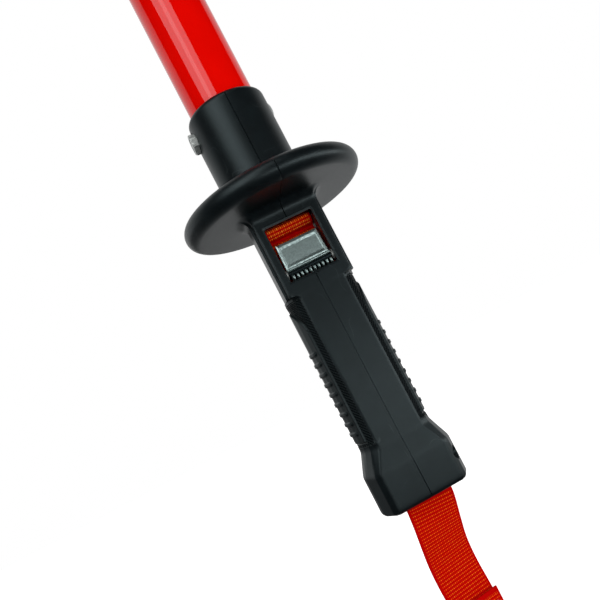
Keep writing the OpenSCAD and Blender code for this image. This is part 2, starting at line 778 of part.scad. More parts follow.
pole_tube();
end_cap();
cap_screws();
anchor_pin();
strap_bush();
handle_shell_left();
handle_shell_right();
grip_pad_left();
grip_pad_right();
shell_screws();
collar_bolt();
collar_nut();
buckle_frame();
cam_lever();
cam_pin();
cam_clip();
cam_spacers();
cam_spring();
strap_run();
strap_tail();
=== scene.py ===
# %% [markdown]
# # Handle end of a strap pole
# A red metal tube carries webbing down its middle. The webbing comes out through a moulded
# handle, where a toothed cam presses on it, and ends below in a sewn hand loop.
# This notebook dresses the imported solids: each step says what the piece is on the real
# object, how it could be made, and why this way was chosen. Sizes are in millimetres.

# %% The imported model
import math

import bpy
import numpy as np
from mathutils import Matrix, Vector


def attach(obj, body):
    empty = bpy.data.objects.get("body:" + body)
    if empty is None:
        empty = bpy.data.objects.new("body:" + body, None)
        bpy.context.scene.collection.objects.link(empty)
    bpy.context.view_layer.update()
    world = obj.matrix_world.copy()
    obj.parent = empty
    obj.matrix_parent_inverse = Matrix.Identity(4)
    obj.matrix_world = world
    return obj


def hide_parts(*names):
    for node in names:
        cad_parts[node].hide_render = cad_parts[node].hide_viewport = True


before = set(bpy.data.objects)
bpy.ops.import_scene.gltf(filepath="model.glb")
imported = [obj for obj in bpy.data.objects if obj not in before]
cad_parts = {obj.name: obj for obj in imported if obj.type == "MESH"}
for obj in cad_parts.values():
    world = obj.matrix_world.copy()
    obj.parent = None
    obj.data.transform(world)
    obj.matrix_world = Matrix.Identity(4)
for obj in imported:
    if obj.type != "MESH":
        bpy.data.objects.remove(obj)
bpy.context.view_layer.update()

MM = 0.001
scene = bpy.context.scene
scene.view_settings.view_transform = "Standard"

# %% [markdown]
# ## Camera
# The handle is seen from close by and a little below the guard, with the camera rolled so that
# the pole leans across the square render. A look-at constraint would not hold that roll, so
# the three axes of the camera are worked out from its yaw, pitch and roll.

# %% Camera
YAW, PITCH, ROLL = np.radians([8.40, 2.729, -27.433])
PLACE = np.array([-57.36, -300.39, 4.14])
RENDER_SIDE = 600  # in pixels; the focal length and the shift are counted in the same pixels
FOCAL, SHIFT = 609.21, (-17, 43)
SENSOR = 36

level = np.array([math.cos(YAW), -math.sin(YAW), 0.0])
ahead = np.array([math.sin(YAW), math.cos(YAW), 0.0])
up = np.array([0.0, 0.0, 1.0])
look = ahead * math.cos(PITCH) + up * math.sin(PITCH)
rise = up * math.cos(PITCH) - ahead * math.sin(PITCH)
right = level * math.cos(ROLL) + rise * math.sin(ROLL)
top = rise * math.cos(ROLL) - level * math.sin(ROLL)

camera = bpy.data.objects.new("camera", bpy.data.cameras.new("camera"))
scene.collection.objects.link(camera)
turned_axes = Matrix((Vector(right), Vector(top), Vector(-look))).transposed().to_4x4()
turned_axes.translation = Vector(PLACE * MM)
camera.matrix_world = turned_axes
camera.data.sensor_width = SENSOR
camera.data.lens = SENSOR * FOCAL / RENDER_SIDE
camera.data.shift_x, camera.data.shift_y = (pixels / RENDER_SIDE for pixels in SHIFT)
camera.data.clip_start = 0.01
scene.camera = camera
print("lens", round(camera.data.lens, 2), "mm at", np.round(PLACE), "mm")

# %% [markdown]
# ## Helpers
# Every shape below is a grid of points worked out with numpy and handed to the mesh at once.
# The sign of the enclosed volume tells which way the faces point, so each closed shape is
# turned outwards whatever order its points came in.

# %% Grids and closed skins
def grid_faces(rows, columns, wrap_rows=False, wrap_columns=False):
    """Four corners for each cell of a rows x columns grid; wrapping joins the last line to the first."""
    i = np.arange(rows if wrap_rows else rows - 1)[:, None]
    j = np.arange(columns if wrap_columns else columns - 1)[None, :]
    below, above = (i + 1) % rows * columns, i * columns
    side = (j + 1) % columns
    return np.stack([above + j, above + side, below + side, below + j], axis=-1).reshape(-1, 4)


def stack(rings):
    """Closed solid over rings of points (rings, points, 3), with a flat face on each end."""
    count, around = rings.shape[:2]
    ends = [np.arange(around)[::-1], np.arange(around) + (count - 1) * around]
    return rings.reshape(-1, 3), [grid_faces(count, around, wrap_columns=True)] + [e[None] for e in ends]


def slab(outer, inner):
    """Closed solid between two grids of the same shape: both faces, and walls round the edge."""
    rows, columns = outer.shape[:2]
    number = np.arange(rows * columns).reshape(rows, columns)
    edge = np.concatenate([number[0, :-1], number[:-1, -1], number[-1, :0:-1], number[:0:-1, 0]])
    after = np.roll(edge, -1)
    far = rows * columns
    face = grid_faces(rows, columns)
    walls = np.stack([after, edge, edge + far, after + far], axis=-1)
    return np.concatenate([outer.reshape(-1, 3), inner.reshape(-1, 3)]), [face, face[:, ::-1] + far, walls]


def joined(*shapes):
    """Several closed shapes as one list of points and faces."""
    points, faces, start = [], [], 0
    for p, f in shapes:
        points.append(p)
        faces += [k + start for k in f]
        start += len(p)
    return np.concatenate(points), faces


print("a 3 x 4 grid has", len(grid_faces(3, 4)), "cells")

# %% From arrays to a mesh
def make_mesh(shape, flat_map=None):
    """Mesh from (points in mm, faces). Its volume is the sum of v0 . (v1 x v2) / 6 over the triangles."""
    points, faces = np.asarray(shape[0], float) * MM, shape[1]
    volume = sum(np.einsum("ik,ijk->", points[f[:, 0]], np.cross(points[f[:, 1:-1]], points[f[:, 2:]]))
        for f in faces)
    faces = [f if volume > 0 else f[:, ::-1] for f in faces]
    corners = np.concatenate([f.ravel() for f in faces])
    sizes = np.concatenate([np.full(len(f), f.shape[1]) for f in faces])
    mesh = bpy.data.meshes.new("shape")
    mesh.vertices.add(len(points))
    mesh.vertices.foreach_set("co", points.ravel())
    mesh.loops.add(len(corners))
    mesh.loops.foreach_set("vertex_index", corners.astype(np.int32))
    mesh.polygons.add(len(sizes))
    mesh.polygons.foreach_set("loop_start", (np.cumsum(sizes) - sizes).astype(np.int32))
    mesh.update(calc_edges=True)
    mesh.validate()
    if flat_map is not None:
        layer = mesh.uv_layers.new(name="UVMap")
        layer.data.foreach_set("uv", flat_map[corners].ravel())
    return mesh


print("points are given in mm and scaled by", MM)

# %% Bars, boxes and turned shapes
def turned(profile, sides=96, centre=(0, 0), axis=2, hollow=False):
    """Round solid: ring k has the radius and height of profile[k], and the height runs along the axis.

    A hollow body's profile goes all the way round its wall, so its last ring joins the first.
    """
    profile = np.asarray(profile, float)
    angle = np.arange(sides) * 2 * math.pi / sides
    ring = np.stack([np.cos(angle), np.sin(angle)], axis=-1)
    flat = profile[:, :1, None] * ring[None] + np.asarray(centre, float)
    height = np.broadcast_to(profile[:, 1, None, None], flat.shape[:2] + (1,))
    rings = np.roll(np.concatenate([flat, height], axis=-1), axis - 2, axis=2)
    return (rings.reshape(-1, 3), [grid_faces(len(profile), sides, True, True)]) if hollow else stack(rings)


def bar(y, z, x0, x1, radius, sides=48):
    """Round or many-sided bar across the handle."""
    return turned([[radius, x0], [radius, x1]], sides, (y, z), axis=0)


def rounded_box(half, radius, steps=6):
    """Outline of a rectangle whose corners are quarter circles."""
    quarter = np.linspace(0, math.pi / 2, steps)
    signs = np.array([[1, 1], [-1, 1], [-1, -1], [1, -1]])
    turns = np.arange(4)[:, None] * math.pi / 2 + quarter
    arc = np.stack([np.cos(turns), np.sin(turns)], axis=-1) * radius
    return (arc + (signs * (np.asarray(half, float) - radius))[:, None]).reshape(-1, 2)


def box_between(x, y, z):
    """Box given by its limits along each axis."""
    flat = np.array([[x[0], y[0]], [x[1], y[0]], [x[1], y[1]], [x[0], y[1]]], float)
    return stack(np.stack([np.column_stack([flat, np.full(4, float(h))]) for h in z]))


def across(outline, x0, x1):
    """Side-view outline (y, z) carried across the handle from x0 to x1."""
    outline = np.asarray(outline, float)
    return stack(np.stack([np.column_stack([np.full(len(outline), float(x)), outline]) for x in (x0, x1)]))


print("a rounded box outline has", len(rounded_box((10, 5), 1)), "points")

# %% Carving one solid with others
def carve(body, cutters, added=()):
    """Joins and cuts closed solids with boolean modifiers, and returns the mesh that they leave."""
    thing = bpy.data.objects.new("body", make_mesh(body))
    scene.collection.objects.link(thing)
    tools = []
    for kind, shapes in (("UNION", added), ("DIFFERENCE", cutters)):
        for shape in shapes:
            tool = bpy.data.objects.new("tool", make_mesh(shape))
            scene.collection.objects.link(tool)
            tools.append(tool)
            step = thing.modifiers.new(kind, "BOOLEAN")
            step.operation, step.object, step.solver = kind, tool, "MANIFOLD"
    bpy.context.view_layer.update()
    mesh = bpy.data.meshes.new_from_object(thing.evaluated_get(bpy.context.evaluated_depsgraph_get()))
    for used in [thing, *tools]:
        bpy.data.objects.remove(used)
    return mesh


# %% Putting a piece on its body
def add_piece(name, mesh, finish, replaces=(), body="handle", crease=35):
    """Puts a finished mesh on a body: smooth where faces meet at less than the crease angle."""
    mesh.name = name
    mesh.materials.clear()
    mesh.materials.append(finish)
    mesh.shade_smooth()
    mesh.set_sharp_from_angle(angle=math.radians(crease))
    thing = bpy.data.objects.new(name, mesh)
    scene.collection.objects.link(thing)
    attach(thing, body)
    if replaces:
        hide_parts(*replaces)
    print(name, len(mesh.polygons), "faces")
    return thing


# %% [markdown]
# ## Finishes
# A finish is a node tree that starts from what the real surface is. One small function adds a
# node with its settings and links; colours are written as sRGB hex and turned to linear here. The
# scale of a noise is 1 / (its grain in mm * MM), and its last number is the detail.

# %% Colour and node helpers
def paint(code):
    """sRGB hex to linear RGBA, by the standard's curve."""
    value = np.array([int(code[k:k + 2], 16) for k in (1, 3, 5)]) / 255
    return (*np.where(value <= 0.04045, value / 12.92, ((value + 0.055) / 1.055) ** 2.4), 1.0)


def feed(tree, socket, value):
    """Gives a socket a plain value, another socket, or a node, which stands for its first open output."""
    if isinstance(value, bpy.types.Node):
        value = next(out for out in value.outputs if out.enabled)
    if isinstance(value, bpy.types.NodeSocket):
        tree.links.new(value, socket)
    else:
        socket.default_value = value


def add(tree, kind, *inputs, **settings):
    """One node: settings are its properties, inputs go to its open sockets in order, and None skips one."""
    node = tree.nodes.new("ShaderNode" + kind)
    for key, value in settings.items():
        setattr(node, key, value)
    for socket, value in zip([s for s in node.inputs if s.enabled], inputs):
        if value is not None:
            feed(tree, socket, value)
    return node


def dress(tree, **values):
    """Feeds the sockets of the tree's Principled shader by name."""
    for key, value in values.items():
        feed(tree, tree.nodes["Principled BSDF"].inputs[key.replace("_", " ")], value)


def new_finish(name, **values):
    """A material with one Principled shader, its tree, and the place of a point on its piece, in metres."""
    material = bpy.data.materials.new(name)
    material.use_nodes = True
    dress(material.node_tree, **values)
    return material, material.node_tree, add(material.node_tree, "TexCoord").outputs["Object"]


print("mid grey is", np.round(paint("#808080")[0], 3), "in linear light")

# %% Moulded nylon
# Glass-filled polyamide from a spark-eroded mould: dark, dull, with a fine even grain and faint
# cloudiness where the glass comes to the surface.
def moulded_nylon(name, dark, light, rough, scuffed=0.0):
    """Clouds of two darks and a fine grain; scuffed is how much of the hairline scuffs shows."""
    material, tree, place = new_finish(name, IOR=1.53, Specular_Tint=paint("#E4FBFF"))
    grain = add(tree, "TexNoise", place, 1 / (0.35 * MM), 2.0)
    cloud = add(tree, "MapRange", add(tree, "TexNoise", place, 1 / (9.0 * MM), 4.0), 0.35, 0.65)
    # hairline scuffs: level lines of a smooth noise 17 mm wide, 0.15 mm thick, kept only here and there
    smooth = add(tree, "TexNoise", place, 1 / (17.0 * MM), 0.0)
    line = add(tree, "Math", smooth, 0.5, 0.003, operation="COMPARE")
    worn = add(tree, "MapRange", add(tree, "TexNoise", place, 1 / (11.0 * MM), 1.0), 0.54, 0.62, 0.0, scuffed)
    scuff = add(tree, "Math", line, worn, operation="MULTIPLY")
    unmarked = add(tree, "Mix", cloud, paint(dark), paint(light), data_type="RGBA")
    dress(tree, Base_Color=add(tree, "Mix", scuff, unmarked, paint("#2E3436"), data_type="RGBA"),
        Roughness=add(tree, "MapRange", grain, 0.3, 0.7, rough - 0.05, rough + 0.05),
        Normal=add(tree, "Bump", 0.6, 0.03 * MM, None, grain))
    return material


shell_finish = moulded_nylon("moulded_nylon", "#080D10", "#0C1316", 0.37, 0.7)
pad_finish = moulded_nylon("moulded_grip_rubber", "#070C0E", "#0B1113", 0.44)
# little light comes back out of the knurl's grooves; the mesh says where they are
tree = pad_finish.node_tree
in_knurl = add(tree, "Attribute", attribute_name="knurl").outputs["Fac"]
dress(tree, Specular_IOR_Level=add(tree, "MapRange", in_knurl, 0, 1, 0.56, 0.14))
print("nylon and rubber ready")

# %% Painted and metal finishes
# Red enamel on aluminium tube: an even pigment under a clear gloss skin, with the slight waviness
# that a wet coat keeps when it dries.
tube_finish, tree, place = new_finish("red_enamel", Roughness=0.4, IOR=1.5, Specular_IOR_Level=0.0,
    Coat_Weight=1.0, Coat_Roughness=0.05, Coat_IOR=1.7)
shade = add(tree, "MapRange", add(tree, "TexNoise", place, 1 / (30.0 * MM), 2.0), 0.3, 0.7)
dress(tree, Base_Color=add(tree, "Mix", shade, paint("#E00400"), paint("#EA0600"), data_type="RGBA"),
    Normal=add(tree, "Bump", 0.5, 0.01 * MM, None, add(tree, "TexNoise", place, 1 / (1.6 * MM), 1.0)))


def bare_metal(name, low, high, rough, grain, relief, metallic=1.0):
    """Metal with a cast or tumbled skin: brightness and gloss wander at the size of the grain, both in mm."""
    material, tree, place = new_finish(name, Metallic=metallic)
    skin = add(tree, "TexNoise", place, 1 / (grain * MM), 4.0)
    shade = add(tree, "MapRange", skin, 0.35, 0.65)
    dress(tree, Base_Color=add(tree, "Mix", shade, paint(low), paint(high), data_type="RGBA"),
        Roughness=add(tree, "MapRange", skin, 0.3, 0.7, rough + 0.08, rough - 0.06),
        Normal=add(tree, "Bump", 0.7, relief * MM, None, skin))
    return material


# Zinc casting, tumbled and nickel plated: satin grey; painted shade darkens its grooves further down.
lever_finish = bare_metal("tumbled_zinc_casting", "#A8BDBB", "#CCE2E0", 0.36, 1.3, 0.04)
# Stainless sheet, stamped and deburred.
frame_finish = bare_metal("stamped_steel_sheet", "#868E8D", "#A3AAA9", 0.38, 1.2, 0.01)
# Zinc-plated steel fasteners: the pale bloom of the passivation scatters part of the light.
screw_finish = bare_metal("zinc_plated_steel", "#A9AFAD", "#C8CDCA", 0.36, 1.2, 0.006, 0.6)
# Hard-drawn spring wire with its die marks.
wire_finish = bare_metal("drawn_spring_wire", "#9CA3A4", "#C9CED0", 0.24, 0.3, 0.005)
# Acetal, turned or moulded: a waxy grey bearing plastic.
acetal_finish = moulded_nylon("moulded_acetal", "#34393B", "#3F4547", 0.35)
print("metal and paint ready")

# %% Woven polyester webbing
# Heavy polyester webbing, solution dyed: every cross rib is a row of warp floats 1 mm apart on a red
# ground, with a plain red selvedge. The floats on the rib crests are painted bright orange, painted
# highlight, and the ground between the ribs dark red, painted shade. U runs across and V along, in mm.
RIB, THREAD, SELVEDGE = 1.75, 1.0, 11.5


def woven_webbing(name, shaded_ground_dark, shaded_ground_light, lit_warp_dark, lit_warp_light, cover):
    """cover gives the two levels of the rib's wave between which a float comes to the face."""
    material, tree, place = new_finish(name, Roughness=0.85, Specular_IOR_Level=0.03)
    strap = add(tree, "SeparateXYZ", add(tree, "UVMap", uv_map="UVMap"))
    across_mm, along_mm = strap.outputs["X"], strap.outputs["Y"]

    def wave(value, period):
        """1 to -1 and back once every period."""
        turns = add(tree, "Math", value, 2 * math.pi / period, operation="MULTIPLY")
        return add(tree, "Math", turns, operation="COSINE")

    rib = add(tree, "MapRange", wave(along_mm, RIB), *cover)
    pair = add(tree, "Math", wave(across_mm, 2 * THREAD), 0.45, wave(across_mm, THREAD),
        operation="MULTIPLY_ADD")
    dot = add(tree, "MapRange", pair, -0.5, 1.0)
    woven = add(tree, "Math", rib, dot, operation="MULTIPLY")
    off_middle = add(tree, "Math", across_mm, operation="ABSOLUTE")
    inside = add(tree, "MapRange", off_middle, SELVEDGE - 0.2, SELVEDGE + 0.2, 1, 0)
    fluff = add(tree, "TexNoise", place, 1 / (0.5 * MM), 2.0)
    ground = add(tree, "Mix", fluff, paint(shaded_ground_dark), paint(shaded_ground_light), data_type="RGBA")
    shade = add(tree, "MapRange", add(tree, "TexNoise", place, 1 / (2.5 * MM), 2.0), 0.3, 0.7)
    warp = add(tree, "Mix", shade, paint(lit_warp_dark), paint(lit_warp_light), data_type="RGBA")
    # painted highlight and shade: the lit orange floats sit on the rib crests, the shaded dark red between
    # the ribs
    lit_float_mask = add(tree, "Math", woven, inside, operation="MULTIPLY")
    dress(tree, Base_Color=add(tree, "Mix", lit_float_mask, ground, warp, data_type="RGBA"),
        Normal=add(tree, "Bump", 0.8, 0.12 * MM, None, woven))
    return material


webbing_finish = woven_webbing("woven_polyester_webbing", "#B00100", "#C80200", "#FF4602", "#FF7014",
    (0.05, 0.8))
# The part inside the pole gets a lit copy of the webbing: wider and paler floats, painted light on the
# webbing that shows in the window.
lit_webbing_finish = woven_webbing("lit_polyester_webbing", "#A80200", "#C40400", "#FF6A10", "#FFA038",
    (-0.6, 0.2))
thread_finish, tree, place = new_finish("sewing_thread", Roughness=0.55, Sheen_Weight=0.2)
twist = add(tree, "MapRange", add(tree, "TexNoise", place, 1 / (0.25 * MM), 1.0), 0.3, 0.7)
dress(tree, Base_Color=add(tree, "Mix", twist, paint("#B00A04"), paint("#E02008"), data_type="RGBA"))
print("webbing: ribs", RIB, "mm, warp floats", THREAD, "mm")

# %% [markdown]
# ## Webbing and its hand loop
# The flat webbing leaves the foot, sags a little, goes round as the hand loop and comes back up on
# its own front, where it is sewn. A curve with a flat bevel would twist at the turns, so the
# cross-section is carried along the path with its width held level, and the ribs are real waves in
# its surface.

# %% Paths
STRAP_W, STRAP_T, STRAP_Y = 25.4, 1.6, -4.5
FACE = STRAP_T / 2 * 0.9  # from the strap's middle to its face between the ribs' crests
FOOT = -71.8
TURN = 11


def distance_along(points):
    """Distance from the first point to each point, along the line through them."""
    return np.concatenate([[0], np.cumsum(np.linalg.norm(np.diff(points, axis=0), axis=1))])


def at_distance(where, run, points):
    """Points of a line after the distances where; its own points lie at the distances run."""
    return np.column_stack([np.interp(where, run, column) for column in points.T])


def strap_axes(tangent, turn):
    """Unit vectors across the strap and off its face, where its width has the bearing turn in degrees."""
    tangent = tangent / np.linalg.norm(tangent, axis=1, keepdims=True)
    turn = np.radians(turn)
    wide = np.column_stack([np.cos(turn), np.sin(turn), np.zeros(len(turn))])
    wide -= np.sum(wide * tangent, axis=1, keepdims=True) * tangent
    wide /= np.linalg.norm(wide, axis=1, keepdims=True)
    return wide, np.cross(wide, tangent)


def smooth_path(points, spacing):
    """Points on a Catmull-Rom spline through all columns of the given rows, a set distance apart."""
    points = np.asarray(points, float)
    ends = np.concatenate([[2 * points[0] - points[1]], points, [2 * points[-1] - points[-2]]])
    t = np.linspace(0, 1, 24, endpoint=False)[None, :, None]
    a, b, c, d = (ends[k:len(ends) - 3 + k, None] for k in range(4))
    curve = 0.5 * (2 * b + (c - a) * t + (2 * a - 5 * b + 4 * c - d) * t ** 2
        + (3 * b - a - 3 * c + d) * t ** 3)
    curve = np.concatenate([curve.reshape(-1, points.shape[1]), points[-1:]])
    run = distance_along(curve[:, :3])
    return at_distance(np.linspace(0, run[-1], int(round(run[-1] / spacing)) + 1), run, curve), run[-1]


print("strap", STRAP_W, "x", STRAP_T, "mm, leaves the foot at", FOOT, "mm")

# %% Ribbed section along a path
def webbing(path, sense=1.0, shaded_crease=(0, 0)):
    """Flat ribbed strap along path (x, y, z, turn).

    At distance s the section is a flattened ring: half its width across, and a half thickness of
    0.72 mm times 1 + 0.16 cos(2 pi s / rib) that thins towards a rounded selvedge. U is the place across,
    V the distance along, both in millimetres. The last 2.4 mm are the cut end, fused by heat: flat and
    without floats. A crease between two heights is also flat and without floats, painted shade in the fold.
    sense is -1 where the distance counts down.
    """
    line = path[:, :3]
    run = sense * distance_along(line)
    wide, thick = strap_axes(np.gradient(line, axis=0), path[:, 3])
    angle = np.linspace(0, 2 * math.pi, 56, endpoint=False)
    flat = np.sign(np.cos(angle)) * (1 - (1 - np.abs(np.cos(angle))) ** 1.6)
    across_mm = flat * STRAP_W / 2
    selvedge = np.clip((STRAP_W / 2 - np.abs(across_mm)) / 0.7, 0, 1)
    plump = np.sign(np.sin(angle)) * np.sqrt(1 - (1 - selvedge) ** 2)
    # the fused end, and the crease, whose floatless dark red is painted shade in the fold
    fused_end_and_shaded_crease = (np.abs(run[-1] - run) < 2.4) | ((line[:, 2] > shaded_crease[0]) & (line[:, 2] < shaded_crease[1]))
    wave = np.where(fused_end_and_shaded_crease, -0.2, 0.16 * np.cos(2 * math.pi * run / RIB))
    rib = 1 + wave[:, None] * np.clip((SELVEDGE + 0.4 - np.abs(across_mm)) / 0.6, 0, 1)
    half = FACE * plump * rib
    rings = line[:, None] + across_mm[None, :, None] * wide[:, None] + half[..., None] * thick[:, None]
    along_mm = np.where(fused_end_and_shaded_crease, (np.floor(run[-1] / RIB) + 0.5) * RIB, run)
    flat_map = np.stack(np.broadcast_arrays(across_mm, along_mm[:, None]), axis=-1)
    return make_mesh(stack(rings), flat_map.reshape(-1, 2))


print(round(2 * SELVEDGE / THREAD), "warp floats between the selvedges")

# %% Free end and hand loop
LOOP = [
    [0, 0, 0], [0, 0.1, -3], [-0.3, 0.6, -7], [-0.9, 2, -13.2], [-1.6, 4.8, -21.2], [-2.1, 8, -29.2],
    [-2.3, 10.3, -37.2], [-2.3, 11, -46.2], [-2.1, 10.6, -54.2], [-2, 9.9, -64.2], [-2, 9.6, -76.2],
    [-2, 11, -88.2], [-2, 16.5, -100.2], [-2, 22.5, -114.2], [-2, 26, -128.2], [-2, 26.5, -140.2],
    [-2, 23.5, -152.2], [-2, 16.5, -161.2], [-2, 7, -164.7], [-1.9, -2.5, -161.2], [-1.8, -9.5, -152.2],
    [-1.6, -12.5, -140.2], [-1.4, -12, -128.2], [-1.2, -8.5, -114.2], [-1, -2.5, -100.2], [-0.8, 3.6, -88.2],
    [-0.7, 7.3, -76.2], [-0.6, 7.6, -66.2], [-0.5, 7.9, -58.6],
]
loop_turn = [0, 0, 2, 6, 9] + [TURN] * (len(LOOP) - 5)
loop_points = np.column_stack([np.array(LOOP) + [0, STRAP_Y, FOOT], loop_turn])
loop_path, loop_length = smooth_path(loop_points, RIB / 4)
hand_loop = add_piece("hand_loop", webbing(loop_path), webbing_finish, ["strap_tail"], crease=60)
print("hand loop", round(loop_length, 1), "mm long")

# %% Stitching of the loop
def on_strap(path, run, across_mm, off):
    """Points at a distance along the strap, a place across it and a distance off its middle face."""
    at = distance_along(path[:, :3])
    line = at_distance(run, at, path)
    wide, thick = strap_axes(at_distance(run, at, np.gradient(path[:, :3], at, axis=0)), line[:, 3])
    return line[:, :3] + across_mm[:, None] * wide + off[:, None] * thick


def seam(first, last, step=2.6):
    """Stitches from one corner to the next on the strap, each a little shorter than its step."""
    way = np.subtract(last, first)
    count = int(np.hypot(*way) / step)
    share = np.linspace(0, 1, count + 1)
    start, end = share[:-1] + 0.06 / count, share[1:] - 0.06 / count
    return [(first + way * a, first + way * b) for a, b in zip(start, end)]


def stitches(lines):
    """One thin bent tube for each stitch: its middle 0.3 mm above the strap's face, its ends inside it."""
    low, high = (np.array([line[k] for line in lines]) for k in (0, 1))
    t = np.linspace(0, 1, 9)
    angle = np.arange(8) * math.pi / 4
    thread_r = 0.4
    spot = low[:, None] + (high - low)[:, None] * t[None, :, None]
    lift = FACE - 0.35 + 0.65 * np.sin(math.pi * t) ** 0.5
    side = (high - low) / np.linalg.norm(high - low, axis=1, keepdims=True)
    side = np.stack([-side[:, 1], side[:, 0]], axis=-1)[:, None, None] * np.cos(angle)[:, None] * thread_r
    around = spot[:, :, None] + side
    off = lift[None, :, None] + thread_r * np.sin(angle)[None, None, :] + 0 * around[..., 0]
    points = on_strap(loop_path, around[..., 1].ravel(), around[..., 0].ravel(), off.ravel())
    return [stack(tube) for tube in points.reshape(around.shape[:3] + (3,))]


SEWN, SEAM_X = (loop_length - 24.0, loop_length - 6.0), 10.2
corners = [(-SEAM_X, SEWN[0]), (SEAM_X, SEWN[0]), (SEAM_X, SEWN[1]), (-SEAM_X, SEWN[1])]
box_and_cross = [(corners[a], corners[b]) for a, b in ((0, 1), (1, 2), (2, 3), (3, 0), (0, 2), (1, 3))]
seam_lines = [stitch for a, b in box_and_cross for stitch in seam(a, b)]
seam_mesh = make_mesh(joined(*stitches(seam_lines)))
loop_stitching = add_piece("loop_stitching", seam_mesh, thread_finish)
print(len(seam_lines), "stitches in a box with a cross")

# %% Webbing inside the pole
TUBE_TOP = 406.5
ANCHOR_Y, ANCHOR_Z = 5.5, 392.5
SADDLE_R = 5.0
arc = np.linspace(math.pi, 0, 17)
eye = np.linspace(math.pi / 2, -math.pi * 1.45, 25)
inner_path = np.concatenate([
    np.column_stack([np.full(4, STRAP_Y), np.linspace(FOOT, 40, 4)]),
    [[-4.5, 60], [-4.9, 67], [-5.2, 69.4], [-4.3, 70.4], [-3.3, 71.2], [-2.9, 72.2], [-3.5, 73.2],
     [-5.4, 73.9], [-6.5, 75.0], [-7.3, 76.1], [-7.6, 77.1], [-6.9, 78.0], [-5.3, 78.8], [-4.6, 80.2],
     [-4.5, 83]],
    np.column_stack([np.full(8, STRAP_Y), np.linspace(100, 404.5, 8)]),
    np.column_stack([STRAP_Y + SADDLE_R * (1 + np.cos(arc)), 408 + SADDLE_R * np.sin(arc)]),
    np.column_stack([ANCHOR_Y + 3.0 * np.cos(eye), ANCHOR_Z + 3.0 * np.sin(eye)]),
])
inner_path, inner_length = smooth_path(np.pad(inner_path, ((0, 0), (1, 1))), RIB / 4)
# the crease between 70.7 and 74.0 mm shows only the dark red ground: painted shade in the fold
add_piece("inner_webbing", webbing(inner_path, sense=-1.0, shaded_crease=(70.7, 74.0)), lit_webbing_finish,
    ["strap_run"], crease=60)
print("webbing inside the pole", round(inner_length, 1), "mm long")

# %% [markdown]
# ## Moulded handle
# Two shells of glass-filled nylon, split down the middle, form collar, guard, grip and foot. They
# could be boxes and discs joined with booleans, but the real moulding flows from a square grip into
# a round guard. So one cross-section is carried from the foot to the collar and changes on the
# way; only the holes are cut with booleans.

# %% Outlines
PALM_Y = -2.0
GRIP_R, WINDOW_R, FOOT_R, GUARD_R, COLLAR_R = 18.9, 18.5, 23.6, 48.2, 21.0
STRIP, FRONT_Y, ROOF = 12.0, -14.65, 0.25
FRONT_COLUMNS, SHOULDER_COLUMNS, PALM_COLUMNS = 16, 40, 40


def dense_line(corners, radius, soften=1.1, spacing=0.05):
    """Fine outline from front middle to back middle, and the distance along it.

    It is straight lines and a quarter circle about the palm's centre; a moving average over soften
    millimetres rounds the corners.
    """
    arc = np.linspace(0, math.pi / 2, 60)[1:]
    line = np.concatenate([corners, np.column_stack([radius * np.cos(arc), PALM_Y + radius * np.sin(arc)])])
    run = distance_along(line)
    at = np.linspace(0, run[-1], int(run[-1] / spacing))
    line = at_distance(at, run, line)
    reach = int(soften / spacing / 2)
    kernel = np.ones(2 * reach + 1) / (2 * reach + 1)
    for _ in range(2):
        padded = np.pad(line, ((reach, reach), (0, 0)), mode="reflect", reflect_type="odd")
        line = np.column_stack([np.convolve(padded[:, k], kernel, mode="valid") for k in (0, 1)])
    return line, at


def outline(corners, radius, front_edge, soften=1.1):
    """The same outline in columns: wide on the flat front, narrow on the shoulder, even on the palm."""
    line, at = dense_line(corners, radius, soften)
    front = line[:, 1] < PALM_Y - 3
    flat = np.interp(front_edge, line[front, 0], at[front])
    side = at[np.argmax(line[:, 1] >= PALM_Y)]
    stops = np.concatenate([[0, 0.3], np.linspace(0.9, flat, FRONT_COLUMNS, endpoint=False),
        np.linspace(flat, side, SHOULDER_COLUMNS, endpoint=False),
        np.linspace(side, at[-1] - 0.9, PALM_COLUMNS), [at[-1] - 0.3, at[-1]]])
    return at_distance(stops, at, line)


def outward(line):
    """Unit normals of an outline, away from the middle of the handle."""
    along = np.gradient(line, axis=0)
    along /= np.linalg.norm(along, axis=1, keepdims=True)
    return np.column_stack([along[:, 1], -along[:, 0]])


def grown(line, by):
    """Outline moved outwards along its own normals."""
    return line + by * outward(line)


def lower_corners(strip=STRIP):
    """Corners of the grip's outline below the window plate; strip is half the width of its flat front."""
    return [[0, FRONT_Y], [strip - 0.3, FRONT_Y + ROOF], [strip + 0.45, FRONT_Y + ROOF + 0.34],
        [max(15.7, strip + 1.5), -12.0], [17.9, -7.7], [GRIP_R, -4.2], [GRIP_R, PALM_Y]]


print("grip", 2 * GRIP_R, "mm wide, with a flat front of", 2 * STRIP, "mm")

# %% Cross-sections of the grip
lower = outline(lower_corners(), GRIP_R, STRIP - 0.2, 0.25)
upper = outline([[0, FRONT_Y], [STRIP, FRONT_Y + ROOF], [16.5, -14.4], [17.0, -14.1], [17.0, -12.7],
    [17.3, -12.3], [WINDOW_R, -11.6], [WINDOW_R, PALM_Y]], WINDOW_R, 16.6, 0.25)
foot = outline([[0, -15.6], [17.6, -15.27], [20.0, -13.25], [23.3, -5.6], [FOOT_R, PALM_Y]],
    FOOT_R, 17.4, 0.4)
FLARE = 5.5  # how far the grip flares out under the guard
flare = grown(outline([[0, FRONT_Y], [16.8, -14.4], [17.6, -13.4], [WINDOW_R, -9.5], [WINDOW_R, PALM_Y]],
    WINDOW_R, 16.5, 1.4), FLARE)
flare_angle = np.arctan2(flare[:, 1], flare[:, 0])
flare_angle[[0, -1]] = -math.pi / 2, math.pi / 2
circle = np.column_stack([np.cos(flare_angle), np.sin(flare_angle)])
print("each half of a cross-section has", len(lower), "points")

